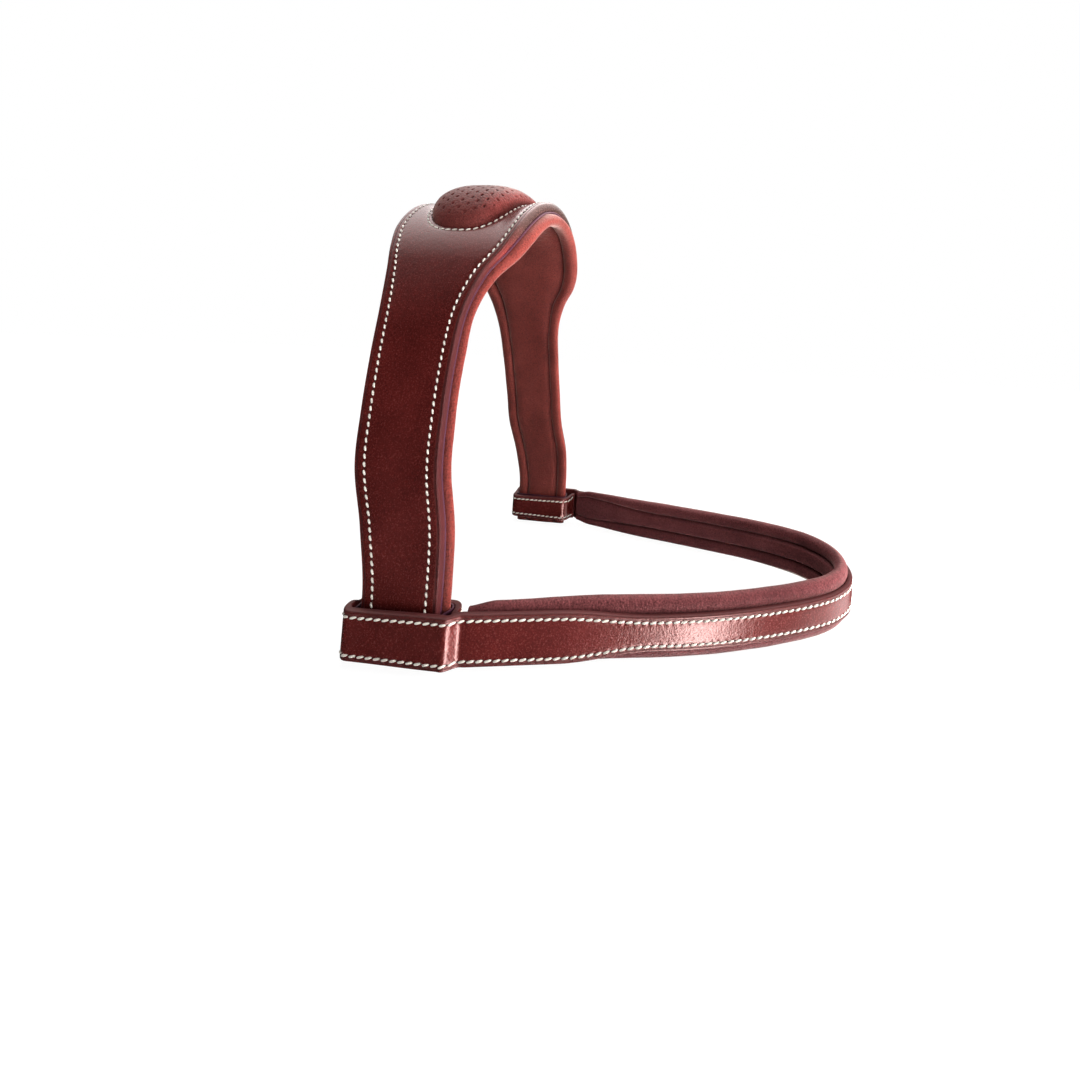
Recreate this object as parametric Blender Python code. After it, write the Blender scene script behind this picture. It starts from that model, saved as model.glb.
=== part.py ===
"""Bridle headpiece: a padded crown strap with a poll pad, and a browband that slides on its two ends.

Metres, +Z up, -Y towards the horse's nose, -X to its right. The origin is under the middle of the
part, on the surface that the strap ends and the browband stand on. "Forward" is a distance towards
the nose, and "depth" a distance from an outer leather face towards the horse's head.
"""
import math

import bmesh
import bpy
from mathutils import Vector

# Leather, and the gap that keeps touching pieces apart
GAP = 0.0003
STRAP_LEATHER = 0.0020
BACKER_LEATHER = 0.0007
BAND_LEATHER = 0.0021
LINING_LEATHER = 0.0006
LOOP_LINING_LEATHER = 0.0005
EDGE_ROUND = 0.0003

# Crown strap: half of it is a tight arc over the poll, an easier arc, a long flat arc that makes up
# the spacing, and the straight end that the browband slides on
POLL_RADIUS = 0.0343
POLL_TURN = math.radians(42.8)
EAR_RADIUS = 0.0636
EAR_TURN = math.radians(30.6)
STRAIGHT_END = 0.0210
STRAP_SPACING = 0.1176

# Crown outline: distance from the middle of the poll, front edge and back edge
CROWN_OUTLINE = (
    (0.000, 0.0195, -0.0406),
    (0.020, 0.0188, -0.0424),
    (0.040, 0.0168, -0.0404),
    (0.052, 0.0134, -0.0374),
    (0.064, 0.0070, -0.0344),
    (0.080, 0.0029, -0.0318),
    (0.100, 0.0026, -0.0300),
    (0.120, 0.0035, -0.0284),
    (0.140, 0.0050, -0.0266),
    (0.160, 0.0090, -0.0212),
    (0.184, 0.0100, -0.0176),
)

# Crown padding: radius of the edge rolls and their overhang, at the poll and at the strap ends
POLL_ROLL_RADIUS = 0.0026
STRAP_ROLL_RADIUS = 0.0016
POLL_ROLL_OVERHANG = 0.0026
STRAP_ROLL_OVERHANG = 0.0017
POLL_PADDING_END = 0.045
STRAP_PADDING_START = 0.080
PANEL_FULLNESS = 0.90

# The lining seen end on, for both paddings: the groove, and shares of the panel and of the roll
GROOVE_WIDTH = 0.0011
GROOVE_FOOT = 0.35
PANEL_FLAT = 0.45
PANEL_EDGE = 1.15
ROLL_WRAP = math.radians(245.0)
TURNED_IN = 0.8

# Poll pad: an oval dome of soft leather in a window of the crown strap
WINDOW_HALF_LENGTH = 0.0405
WINDOW_HALF_WIDTH = 0.0191
WINDOW_FORWARD = -0.0134
WINDOW_SQUARENESS = 3.0
DOME_HEIGHT = 0.0094
DOME_WIDENING = 0.72
DOME_FLATNESS = 0.94
DOME_TURN = math.radians(88.0)
PAD_LEATHER = 0.0009
PAD_SEAT_GAP = 0.0005
CUTTER_MARGIN = 0.0015

# Browband: the loops that hold the strap ends, and the bow between them as arcs from the front
LOOP_HEIGHT = 0.0174
LOOP_DROP = 0.0005
BAND_HEIGHT = 0.0123
TAIL_HEIGHT = 0.0166
LOOP_LINING_HEIGHT = 0.0156
LOOP_CLEARANCE = 0.0004
LOOP_FLARE = 0.0010
STEP_START = 0.0032
PINCH_LENGTH = 0.0086
STEP_IN = 0.0030
TONGUE_REACH = 0.0060
TONGUE_TURN = math.radians(74.0)
PADDING_START_GAP = 0.0012
BOW_DEPTH = 0.1672
BOW_ARCS = (
    (0.0260, math.radians(43.0)),
    (0.0430, math.radians(20.0)),
    (0.1320, math.radians(7.0)),
    (0.3050, math.radians(8.5)),
)
NARROWING_START = 0.0290
NARROWING_LENGTH = 0.032

# Browband padding
BAND_ROLL_RADIUS = 0.0029
BAND_END_ROLL_RADIUS = 0.0014
BAND_ROLL_RISE = 0.0006
PADDED_HEIGHT = 0.0220
PADDED_END_HEIGHT = 0.0180
SWELLING_LENGTH = 0.075
BAND_PANEL_FULLNESS = 0.86

# Steps that the curves are drawn with
ARCH_STEPS = (7, 5, 12)
ROLL_STEPS = 5
CORD_SIDES = 6
WINDOW_STEPS = 32
WINDOW_SHARES = (0.08, 0.3, 0.5, 0.7, 0.86, 1.0)
DOME_STEPS = 6
BOW_STEPS = (6, 3, 2, 3)
LEG_STEPS = 7
PINCH_STEPS = 6
CORNER_STEPS = 4
TONGUE_STEPS = 4
PADDING_END_STEPS = 3
SHARP_TURN = math.radians(35.0)

# Materials: colour, roughness
OUTER_LEATHER = ((0.115, 0.020, 0.016, 1.0), 0.38)
EDGE_LEATHER = ((0.045, 0.012, 0.016, 1.0), 0.50)
LINING = ((0.200, 0.062, 0.048, 1.0), 0.60)
PAD = ((0.150, 0.035, 0.028, 1.0), 0.62)
FOAM = ((0.330, 0.300, 0.250, 1.0), 0.90)
FILLER_CORD = ((0.400, 0.360, 0.300, 1.0), 0.85)


def ease(value):
    """Smooth step from 0 to 1."""
    value = min(max(value, 0.0), 1.0)
    return value * value * (3.0 - 2.0 * value)


def blend(start, end, share):
    return start + (end - start) * share


def smooth_curve(knots, place):
    """A value on the smooth curve through (place, value) knots, level at both ends."""
    places = [knot[0] for knot in knots]
    values = [knot[1] for knot in knots]
    if place <= places[0]:
        return values[0]
    if place >= places[-1]:
        return values[-1]
    slopes = [0.0]
    for i in range(1, len(knots) - 1):
        slopes.append((values[i + 1] - values[i - 1]) / (places[i + 1] - places[i - 1]))
    slopes.append(0.0)
    i = max(k for k in range(len(knots) - 1) if places[k] <= place)
    span = places[i + 1] - places[i]
    u = (place - places[i]) / span
    bend = values[i] * (1 + 2 * u) * (1 - u) ** 2 + values[i + 1] * u * u * (3 - 2 * u)
    return bend + span * (slopes[i] * u * (1 - u) ** 2 - slopes[i + 1] * u * u * (1 - u))


# The crown's arch

ARCH_START = (POLL_RADIUS, POLL_TURN), (EAR_RADIUS, EAR_TURN)
CHEEK_TURN = math.pi / 2 - POLL_TURN - EAR_TURN


def cheek_radius():
    """The long arc's radius, from the spacing that is left when the first two arcs are drawn."""
    reach, turn = 0.0, 0.0
    for radius, sweep in ARCH_START:
        reach += radius * (math.sin(turn + sweep) - math.sin(turn))
        turn += sweep
    return (STRAP_SPACING / 2 - reach) / (1.0 - math.sin(turn))


ARCH = ARCH_START + ((cheek_radius(), CHEEK_TURN),)
ARCH_LENGTH = sum(radius * sweep for radius, sweep in ARCH)
CROWN_LENGTH = ARCH_LENGTH + STRAIGHT_END


def arch(distance):
    """Place beside and below the top of the poll, and slope, a distance along the outer face."""
    beside, below, turn = 0.0, 0.0, 0.0
    for radius, sweep in ARCH:
        part = min(distance / radius, sweep)
        beside += radius * (math.sin(turn + part) - math.sin(turn))
        below += radius * (math.cos(turn) - math.cos(turn + part))
        turn += part
        distance -= radius * part
    return beside, below + distance, turn


CROWN_TOP = arch(CROWN_LENGTH)[1]


def crown_point(along, forward, depth):
    """A point of the crown: distance along the arch from the poll, forward, and depth."""
    side = 1.0 if along >= 0 else -1.0
    beside, below, turn = arch(abs(along))
    inward_x = side * (beside - depth * math.sin(turn))
    return Vector((inward_x, -forward, CROWN_TOP - below - depth * math.cos(turn)))


def front_edge(along):
    return smooth_curve([(knot[0], knot[1]) for knot in CROWN_OUTLINE], abs(along))


def back_edge(along):
    return smooth_curve([(knot[0], knot[2]) for knot in CROWN_OUTLINE], abs(along))


def padding_sizes(along):
    """Half width of the crown's padding and outer radius of its rolls, both fuller over the poll."""
    share = ease((abs(along) - POLL_PADDING_END) / (STRAP_PADDING_START - POLL_PADDING_END))
    overhang = blend(POLL_ROLL_OVERHANG, STRAP_ROLL_OVERHANG, share)
    half_width = (front_edge(along) - back_edge(along)) / 2 + overhang
    return half_width, blend(POLL_ROLL_RADIUS, STRAP_ROLL_RADIUS, share)


def crown_stations(end_margin=0.0):
    """Distances along the arch, closer together where it bends or its outline changes."""
    half = []
    start = 0.0
    for (radius, sweep), steps in zip(ARCH, ARCH_STEPS):
        half += [start + radius * sweep * i / steps for i in range(steps)]
        start += radius * sweep
    half += [start, CROWN_LENGTH - end_margin]
    return [-place for place in reversed(half[1:])] + half


# Making solids

def new_material(name, finish):
    material = bpy.data.materials.new(name)
    material.use_nodes = True
    colour, roughness = finish
    surface = material.node_tree.nodes["Principled BSDF"]
    surface.inputs["Base Color"].default_value = colour
    surface.inputs["Roughness"].default_value = roughness
    surface.inputs["Metallic"].default_value = 0.0
    material.diffuse_color = colour
    return material


def new_object(name, bm, finish, parent):
    bmesh.ops.triangulate(bm, faces=bm.faces, quad_method="FIXED")
    bmesh.ops.recalc_face_normals(bm, faces=bm.faces)
    mesh = bpy.data.meshes.new(name)
    bm.to_mesh(mesh)
    bm.free()
    mesh.shade_smooth()
    mesh.set_sharp_from_angle(angle=SHARP_TURN)
    obj = bpy.data.objects.new(name, mesh)
    bpy.context.scene.collection.objects.link(obj)
    mesh.materials.append(new_material(name, finish))
    obj.parent = parent
    return obj


def loft(bm, rings):
    """Faces from ring to ring, and a cap on the first and the last one."""
    rows = [[bm.verts.new(point) for point in ring] for ring in rings]
    for row, following in zip(rows, rows[1:]):
        for i in range(len(row)):
            j = (i + 1) % len(row)
            bm.faces.new((row[i], row[j], following[j], following[i]))
    bm.faces.new(rows[0])
    bm.faces.new(rows[-1])


def lofted_object(name, rings, finish, parent):
    bm = bmesh.new()
    loft(bm, rings)
    return new_object(name, bm, finish, parent)


def leather_section(low, high, top, thickness):
    """A strip of leather seen end on, with its four edges taken off: (across, depth) points."""
    edge = EDGE_ROUND
    bottom = top + thickness
    return [
        (low, top + edge), (low + edge, top), (high - edge, top), (high, top + edge),
        (high, bottom - edge), (high - edge, bottom), (low + edge, bottom), (low, bottom - edge),
    ]


def circle_section(across, depth, radius):
    turns = [2 * math.pi * (i + 0.5) / CORD_SIDES for i in range(CORD_SIDES)]
    return [(across + radius * math.cos(a), depth + radius * math.sin(a)) for a in turns]


def lining_line(half_width, radius, fullness, rise=0.0):
    """Middle line of the lining's half from its centre out: panel, groove, roll, turned-in edge.

    The roll can rise past the padding's upper face by a distance, beside a narrower strip.
    """
    bend = radius - LINING_LEATHER / 2
    centre = half_width - radius
    groove = centre - bend - GROOVE_WIDTH * GROOVE_FOOT
    panel = groove - GROOVE_WIDTH
    middle = radius - rise
    full = 2 * radius * fullness
    line = [(panel * PANEL_FLAT, full), (panel, radius * PANEL_EDGE), (groove, LINING_LEATHER)]
    end = -math.acos((middle - LINING_LEATHER / 2) / bend)
    for i in range(ROLL_STEPS + 1):
        turn = blend(ROLL_WRAP, end, i / ROLL_STEPS)
        line.append((centre + bend * math.sin(turn), middle - bend * math.cos(turn)))
    line.append((centre - radius * TURNED_IN, LINING_LEATHER / 2))
    return line


def offset_line(line, distance):
    """The line moved sideways by a distance, each point along its own normal."""
    moved = []
    for i, (across, depth) in enumerate(line):
        before = line[max(i - 1, 0)]
        after = line[min(i + 1, len(line) - 1)]
        run = Vector((after[0] - before[0], after[1] - before[1])).normalized()
        moved.append((across - run.y * distance, depth + run.x * distance))
    return moved


def lining_section(middle, top, half_width, radius, fullness, rise=0.0):
    """The lining seen end on: a thin skin round both rolls and over the flat pad between them."""
    half = lining_line(half_width, radius, fullness, rise)
    line = [(-across, depth) for across, depth in reversed(half)] + half
    skin = offset_line(line, LINING_LEATHER / 2) + offset_line(line, -LINING_LEATHER / 2)[::-1]
    return [(middle + across, top + depth) for across, depth in skin]


def core_section(middle, top, half_width, radius, fullness, rise=0.0):
    """The flat pad under the lining: it fills the panel between the two grooves."""
    (flat, full), (edge, low) = lining_line(half_width, radius, fullness, rise)[:2]
    clear = LINING_LEATHER / 2 + GAP
    half = [(edge - clear, 0.0), (edge - clear, low - clear), (flat - clear, full - clear)]
    section = half + [(-across, depth) for across, depth in reversed(half)]
    return [(middle + across, top + depth) for across, depth in section]


# The crown

BACKER_TOP = STRAP_LEATHER + GAP
PADDING_TOP = BACKER_TOP + BACKER_LEATHER + GAP


def crown_ring(along, section):
    return [crown_point(along, across, depth) for across, depth in section]


def crown_middle(along):
    return (front_edge(along) + back_edge(along)) / 2


def window_ring(grow, share, depth):
    """A ring that follows the window: grown by a distance, then shrunk to a share, at a depth."""
    ring = []
    for i in range(WINDOW_STEPS):
        turn = 2 * math.pi * (i + 0.5) / WINDOW_STEPS
        cos, sin = math.cos(turn), math.sin(turn)
        power = WINDOW_SQUARENESS
        reach = share * (abs(cos) ** power + abs(sin) ** power) ** (-1.0 / power)
        along = (WINDOW_HALF_LENGTH + grow) * reach * cos
        forward = (WINDOW_HALF_WIDTH + grow) * reach * sin
        ring.append(crown_point(along, WINDOW_FORWARD + forward, depth))
    return ring


def window_disc(grow, depth):
    """Rings from the middle of the window out, so that a wide face follows the arch."""
    return [window_ring(grow, share, depth) for share in WINDOW_SHARES]


def cut_window(strap, parent):
    bottom = STRAP_LEATHER + CUTTER_MARGIN
    rings = window_disc(0.0, -CUTTER_MARGIN) + window_disc(0.0, bottom)[::-1]
    cutter = lofted_object("window_cutter", rings, EDGE_LEATHER, parent)
    cutter.hide_render = True
    cutter.display_type = "WIRE"
    cut = strap.modifiers.new("poll window", "BOOLEAN")
    cut.operation = "DIFFERENCE"
    cut.solver = "EXACT"
    cut.object = cutter


def make_crown_leather(parent):
    rings = []
    for along in crown_stations():
        section = leather_section(back_edge(along), front_edge(along), 0.0, STRAP_LEATHER)
        rings.append(crown_ring(along, section))
    strap = lofted_object("crown_leather", rings, OUTER_LEATHER, parent)
    cut_window(strap, parent)


def make_crown_backer(parent):
    rings = []
    for along in crown_stations():
        low, high = back_edge(along) + EDGE_ROUND, front_edge(along) - EDGE_ROUND
        top, bottom = BACKER_TOP, BACKER_TOP + BACKER_LEATHER
        rings.append(crown_ring(along, [(low, top), (high, top), (high, bottom), (low, bottom)]))
    lofted_object("crown_backer", rings, EDGE_LEATHER, parent)


def make_crown_padding(parent):
    lining, core = [], []
    for along in crown_stations():
        section = lining_section(crown_middle(along), PADDING_TOP, *padding_sizes(along), PANEL_FULLNESS)
        lining.append(crown_ring(along, section))
    for along in crown_stations(LINING_LEATHER):
        section = core_section(crown_middle(along), PADDING_TOP, *padding_sizes(along), PANEL_FULLNESS)
        core.append(crown_ring(along, section))
    lofted_object("crown_lining", lining, LINING, parent)
    lofted_object("crown_core_pad", core, FOAM, parent)
    for name, side in (("crown_front_cord", 1.0), ("crown_back_cord", -1.0)):
        rings = []
        for along in crown_stations(LINING_LEATHER):
            half_width, radius = padding_sizes(along)
            across = crown_middle(along) + side * (half_width - radius)
            section = circle_section(across, PADDING_TOP + radius, radius - LINING_LEATHER - GAP)
            rings.append(crown_ring(along, section))
        lofted_object(name, rings, FILLER_CORD, parent)


def dome_rings(shrink, base):
    """Rings of the poll pad's dome from its foot to its top, shrunk all round by a distance."""
    rings = [window_ring(-shrink, 1.0, base)]
    for i in range(DOME_STEPS + 1):
        turn = DOME_TURN * i / DOME_STEPS
        share = math.cos(turn) ** DOME_WIDENING
        height = (DOME_HEIGHT - shrink) * math.sin(turn) ** DOME_FLATNESS
        rings.append(window_ring(-shrink, share, -height))
    return rings


def make_poll_pad(parent):
    foot = BACKER_TOP - PAD_SEAT_GAP
    inner = GAP + PAD_LEATHER
    cover = dome_rings(inner, foot)[::-1] + dome_rings(GAP, foot)
    lofted_object("poll_pad_cover", cover, PAD, parent)
    floor = window_disc(-inner - GAP, foot)[::-1]
    foam = dome_rings(inner + GAP, foot)[::-1] + floor[1:]
    lofted_object("poll_pad_foam", foam, FOAM, parent)


# The browband's plan, for the half on the horse's left: (beside, forward) points

CROWN_DEPTH = PADDING_TOP + 2 * STRAP_ROLL_RADIUS
STRAP_FACE = STRAP_SPACING / 2
STRAP_BACK = back_edge(CROWN_LENGTH)
STRAP_FRONT = front_edge(CROWN_LENGTH)
ROLL_CENTRE = STRAP_FACE - CROWN_DEPTH + STRAP_ROLL_RADIUS
ROLL_BACK = STRAP_BACK - STRAP_ROLL_OVERHANG + STRAP_ROLL_RADIUS
ROLL_FRONT = STRAP_FRONT + STRAP_ROLL_OVERHANG - STRAP_ROLL_RADIUS
LOOP_CORNERS = (
    (STRAP_FACE, STRAP_FRONT, 0.0),
    (STRAP_FACE, STRAP_BACK, LOOP_FLARE),
    (ROLL_CENTRE, ROLL_BACK, STRAP_ROLL_RADIUS),
    (ROLL_CENTRE, ROLL_FRONT, STRAP_ROLL_RADIUS),
)
STRIP_INSIDE = LOOP_CLEARANCE + LOOP_LINING_LEATHER + GAP
STRIP_OUTSIDE = STRIP_INSIDE + BAND_LEATHER
WALL = STRAP_FACE + STRIP_OUTSIDE
STEP_END = STRAP_FRONT + STEP_START
PINCH = STEP_END + PINCH_LENGTH
TONGUE_END = STEP_END + TONGUE_REACH
LEG_LEAN = math.pi / 2 - sum(sweep for _, sweep in BOW_ARCS)
BAND_MIDDLE = PADDED_HEIGHT / 2


def bow_points():
    """The outer face from the front of the bow to the pinch, stretched sideways to meet the loop."""
    points = [(0.0, 0.0)]
    heading = math.pi / 2
    for (radius, sweep), steps in zip(BOW_ARCS, BOW_STEPS):
        start = points[-1]
        for i in range(1, steps + 1):
            turned = heading - sweep * i / steps
            beside = start[0] + radius * (math.cos(turned) - math.cos(heading))
            back = start[1] + radius * (math.sin(heading) - math.sin(turned))
            points.append((beside, back))
        heading -= sweep
    leg_start = points[-1]
    leg = BOW_DEPTH - PINCH - leg_start[1]
    for i in range(1, LEG_STEPS + 1):
        back = leg * i / LEG_STEPS
        points.append((leg_start[0] + back * math.tan(LEG_LEAN), leg_start[1] + back))
    stretch = (WALL - STEP_IN) / points[-1][0]
    return [(beside * stretch, BOW_DEPTH - back) for beside, back in points]


def step_point(share):
    """The outer face between the pinch, share 0, and the loop's flat wall, share 1."""
    slope = -math.tan(LEG_LEAN) * PINCH_LENGTH
    beside = WALL - STEP_IN * (1 - ease(share)) - slope * share * (1 - share) ** 2
    return beside, blend(PINCH, STEP_END, share)


def round_corners(grow):
    """An outline drawn tight round the strap's corners, each grown by a distance: one arc each."""
    headings = []
    for start, end in zip(LOOP_CORNERS, LOOP_CORNERS[1:] + LOOP_CORNERS[:1]):
        run = Vector((end[0] - start[0], end[1] - start[1]))
        headings.append(math.atan2(run.y, run.x) + math.asin((end[2] - start[2]) / run.length))
    arcs = []
    for i, (beside, forward, radius) in enumerate(LOOP_CORNERS):
        reach = radius + grow
        turn = (headings[i - 1] - headings[i]) % (2 * math.pi)
        arc = []
        for step in range(CORNER_STEPS + 1):
            outward = headings[i - 1] - turn * step / CORNER_STEPS + math.pi / 2
            arc.append((beside + reach * math.cos(outward), forward + reach * math.sin(outward)))
        arcs.append(arc)
    return arcs


def tongue_points():
    """The tail's face towards the head: round the strap's front roll, then out to the strip."""
    reach = STRAP_ROLL_RADIUS + STRIP_OUTSIDE
    points = []
    for i in range(TONGUE_STEPS + 1):
        turn = TONGUE_TURN * i / TONGUE_STEPS
        points.append((ROLL_CENTRE - reach * math.cos(turn), ROLL_FRONT + reach * math.sin(turn)))
    start = Vector(points[-1])
    share = (PINCH - TONGUE_END) / PINCH_LENGTH
    seat = Vector(step_point(share))
    run = (seat - Vector(step_point(share + 1 / PINCH_STEPS))).normalized()
    seat += (2 * BAND_LEATHER + GAP) * Vector((-run.y, run.x))
    hold = (seat - start).length / 3
    leave = start + hold * Vector((math.sin(TONGUE_TURN), math.cos(TONGUE_TURN)))
    arrive = seat - hold * run
    for i in range(1, TONGUE_STEPS + 1):
        u = i / TONGUE_STEPS
        point = start * (1 - u) ** 3 + leave * 3 * u * (1 - u) ** 2
        point += arrive * 3 * u * u * (1 - u) + seat * u ** 3
        points.append((point.x, point.y))
    return points


def strip_line():
    """The strip's outer face from the front of the bow, round the loop, to the tongue's end."""
    line = bow_points()
    line += [step_point(i / PINCH_STEPS) for i in range(1, PINCH_STEPS + 1)]
    outer_back, inner_back = round_corners(STRIP_OUTSIDE)[1:3]
    return line + outer_back + inner_back + tongue_points()


def inward_normals(line):
    """For each point of the line, the direction from the outer face into the leather."""
    normals = []
    for i in range(len(line)):
        before, after = line[max(i - 1, 0)], line[min(i + 1, len(line) - 1)]
        run = Vector((after[0] - before[0], after[1] - before[1])).normalized()
        normals.append((run.y, -run.x))
    normals[0] = (0.0, -1.0)
    return normals


def narrowing(forward):
    """How far the strip has narrowed, from 0 at the loops to 1 over the bow."""
    return ease((forward - PINCH - NARROWING_START) / NARROWING_LENGTH)


def strip_half_height(point):
    """Half of the strip's height: full at the pinch, narrower over the bow and round the fold."""
    beside, forward = point
    if forward > PINCH:
        return blend(LOOP_HEIGHT, BAND_HEIGHT, narrowing(forward)) / 2
    if beside < STRAP_FACE:
        return TAIL_HEIGHT / 2
    share = (STEP_END - forward) / (STEP_END - STRAP_BACK)
    return blend(LOOP_HEIGHT, TAIL_HEIGHT, ease(share)) / 2


def swelling(forward):
    """How full the padding is, from 0 at the loops to 1 along the bow."""
    return ease((forward - TONGUE_END) / SWELLING_LENGTH)


def band_padding(forward):
    """Half height, roll radius, fullness and the rolls' rise of the padding."""
    share = swelling(forward)
    half = blend(PADDED_END_HEIGHT, PADDED_HEIGHT, share) / 2
    radius = blend(BAND_END_ROLL_RADIUS, BAND_ROLL_RADIUS, share)
    return half, radius, BAND_PANEL_FULLNESS, BAND_ROLL_RISE * narrowing(forward)


def band_ring(side, point, normal, section):
    """A section of the band at a point of its plan: across is height, depth runs inwards."""
    ring = []
    for across, depth in section:
        beside = point[0] + normal[0] * depth
        forward = point[1] + normal[1] * depth
        ring.append(Vector((side * beside, -forward, BAND_MIDDLE + across)))
    return ring


def both_halves(line, normals, section):
    """Rings from one end of the band to the other; the front of the bow comes once."""
    left = [band_ring(1.0, *place, section(place[0])) for place in zip(line, normals)]
    right = [band_ring(-1.0, *place, section(place[0])) for place in zip(line[1:], normals[1:])]
    return right[::-1] + left


def make_browband_leather(parent):
    line = strip_line()

    def section(point):
        half = strip_half_height(point)
        drop = LOOP_DROP * (1 - narrowing(point[1]))
        return leather_section(-half - drop, half - drop, 0.0, BAND_LEATHER)

    lofted_object("browband_leather", both_halves(line, inward_normals(line), section),
                  OUTER_LEATHER, parent)


def padding_line(end):
    """The outer face as the padding follows it: up to the pinch, and on towards the loop."""
    line = bow_points()
    normals = inward_normals(line)
    leg_normal = (-math.cos(LEG_LEAN), -math.sin(LEG_LEAN))
    normals[-1] = leg_normal
    for i in range(1, PADDING_END_STEPS + 1):
        line.append(step_point(i / PADDING_END_STEPS * (PINCH - end) / PINCH_LENGTH))
        normals.append(leg_normal)
    return line, normals


def make_browband_padding(parent):
    top = BAND_LEATHER + GAP
    line, normals = padding_line(TONGUE_END + PADDING_START_GAP)

    def lining(point):
        return lining_section(0.0, top, *band_padding(point[1]))

    def core(point):
        return core_section(0.0, top, *band_padding(point[1]))

    lofted_object("browband_lining", both_halves(line, normals, lining), LINING, parent)
    lofted_object("browband_core", both_halves(line, normals, core), FOAM, parent)
    for name, side in (("browband_upper_cord", 1.0), ("browband_lower_cord", -1.0)):

        def cord(point, side=side):
            half, radius, _, rise = band_padding(point[1])
            inside = radius - LINING_LEATHER - GAP
            section = circle_section(half - radius, top + radius - rise, inside)
            return [(side * across, depth) for across, depth in section]

        lofted_object(name, both_halves(line, normals, cord), FILLER_CORD, parent)


def make_loop_lining(name, side, parent):
    """A thin leather band that lines the loop all round."""
    half = LOOP_LINING_HEIGHT / 2
    inner = sum(round_corners(LOOP_CLEARANCE), [])
    outer = sum(round_corners(LOOP_CLEARANCE + LOOP_LINING_LEATHER), [])
    bm = bmesh.new()
    rows = []
    for outline, height in ((inner, -half), (outer, -half), (outer, half), (inner, half)):
        level = BAND_MIDDLE - LOOP_DROP + height
        points = [(side * beside, -forward, level) for beside, forward in outline]
        rows.append([bm.verts.new(point) for point in points])
    for row, following in zip(rows, rows[1:] + rows[:1]):
        for i in range(len(row)):
            j = (i + 1) % len(row)
            bm.faces.new((row[i], row[j], following[j], following[i]))
    new_object(name, bm, EDGE_LEATHER, parent)


def main():
    for obj in list(bpy.data.objects):
        bpy.data.objects.remove(obj, do_unlink=True)
    crown = bpy.data.objects.new("crown_frame", None)
    browband = bpy.data.objects.new("browband_slide_axis", None)
    bpy.context.scene.collection.objects.link(crown)
    bpy.context.scene.collection.objects.link(browband)
    make_crown_leather(crown)
    make_crown_backer(crown)
    make_crown_padding(crown)
    make_poll_pad(crown)
    make_browband_leather(browband)
    make_browband_padding(browband)
    make_loop_lining("loop_lining_left", 1.0, browband)
    make_loop_lining("loop_lining_right", -1.0, browband)
    places = [vert.co.y for obj in bpy.data.objects if obj.type == "MESH" and not obj.hide_render
              for vert in obj.data.vertices]
    middle = (min(places) + max(places)) / 2
    for frame in (crown, browband):
        frame.location.y = -middle


main()
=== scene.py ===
# %% [markdown]
# # A padded headpiece and its browband
# A saddler cuts the crown strap and the browband from one dyed hide, lines them with soft leather
# over rolls of filler, and sews every edge with waxed thread. This lesson dresses the solid model of
# that work. It lays finer leather over the solids, swells the linings and the poll pad, and adds the
# seams and the finishes.

# %% Load the solid model
import math

import bmesh
import bpy
from mathutils import Matrix, Vector, noise


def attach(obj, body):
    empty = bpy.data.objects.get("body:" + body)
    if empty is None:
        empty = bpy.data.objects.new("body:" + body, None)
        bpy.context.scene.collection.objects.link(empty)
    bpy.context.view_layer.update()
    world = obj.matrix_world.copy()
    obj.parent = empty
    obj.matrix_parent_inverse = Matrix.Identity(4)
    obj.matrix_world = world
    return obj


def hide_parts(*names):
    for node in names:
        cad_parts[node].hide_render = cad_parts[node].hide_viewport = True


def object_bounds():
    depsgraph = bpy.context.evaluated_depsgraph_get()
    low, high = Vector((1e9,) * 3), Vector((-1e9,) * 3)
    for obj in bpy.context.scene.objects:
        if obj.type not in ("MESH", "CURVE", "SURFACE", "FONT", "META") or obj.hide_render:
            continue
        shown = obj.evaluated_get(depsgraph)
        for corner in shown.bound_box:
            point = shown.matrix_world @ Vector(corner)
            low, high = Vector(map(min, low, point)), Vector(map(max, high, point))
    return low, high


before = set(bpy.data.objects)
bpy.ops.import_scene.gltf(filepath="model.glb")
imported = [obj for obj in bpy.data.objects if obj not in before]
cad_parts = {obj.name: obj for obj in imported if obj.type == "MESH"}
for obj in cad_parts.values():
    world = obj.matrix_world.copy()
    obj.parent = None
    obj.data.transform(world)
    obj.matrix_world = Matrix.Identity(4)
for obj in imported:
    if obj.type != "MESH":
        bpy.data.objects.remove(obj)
cad_box = [[float(value) for value in corner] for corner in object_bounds()]
print("solid model, metres:", cad_box)

# %% [markdown]
# ## The camera
# The picture was taken close by with a short lens, so the near loop looks much larger than the far
# one. A long lens can't give that perspective, so this camera stands 17 centimetres from the near
# loop. It is turned first, by three small angles, and the shift then moves the frame without turning
# it any further.

# %% Place the camera
BOW_DEPTH = 0.1672
PART_MIDDLE = BOW_DEPTH + cad_box[0][1]
CAMERA_PLACE = (-0.1776, PART_MIDDLE - 0.0945, 0.1079)
YAW, PITCH, ROLL = 0.0832, -0.0298, 0.0589
FOCAL_LENGTH = 363.54
PICTURE_CENTRE = (672.05, 350.36)
PICTURE_SIDE = 1080
SENSOR = 36.0


def in_scene(name, data):
    """A camera, mesh or lamp as an object in the scene."""
    item = bpy.data.objects.new(name, data)
    bpy.context.scene.collection.objects.link(item)
    return item


ahead = Vector((math.cos(YAW) * math.cos(PITCH), math.sin(YAW) * math.cos(PITCH), -math.sin(PITCH)))
level = Vector((math.sin(YAW), -math.cos(YAW), 0.0))
upright = level.cross(ahead)
right = level * math.cos(ROLL) + upright * math.sin(ROLL)
up = upright * math.cos(ROLL) - level * math.sin(ROLL)

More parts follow.
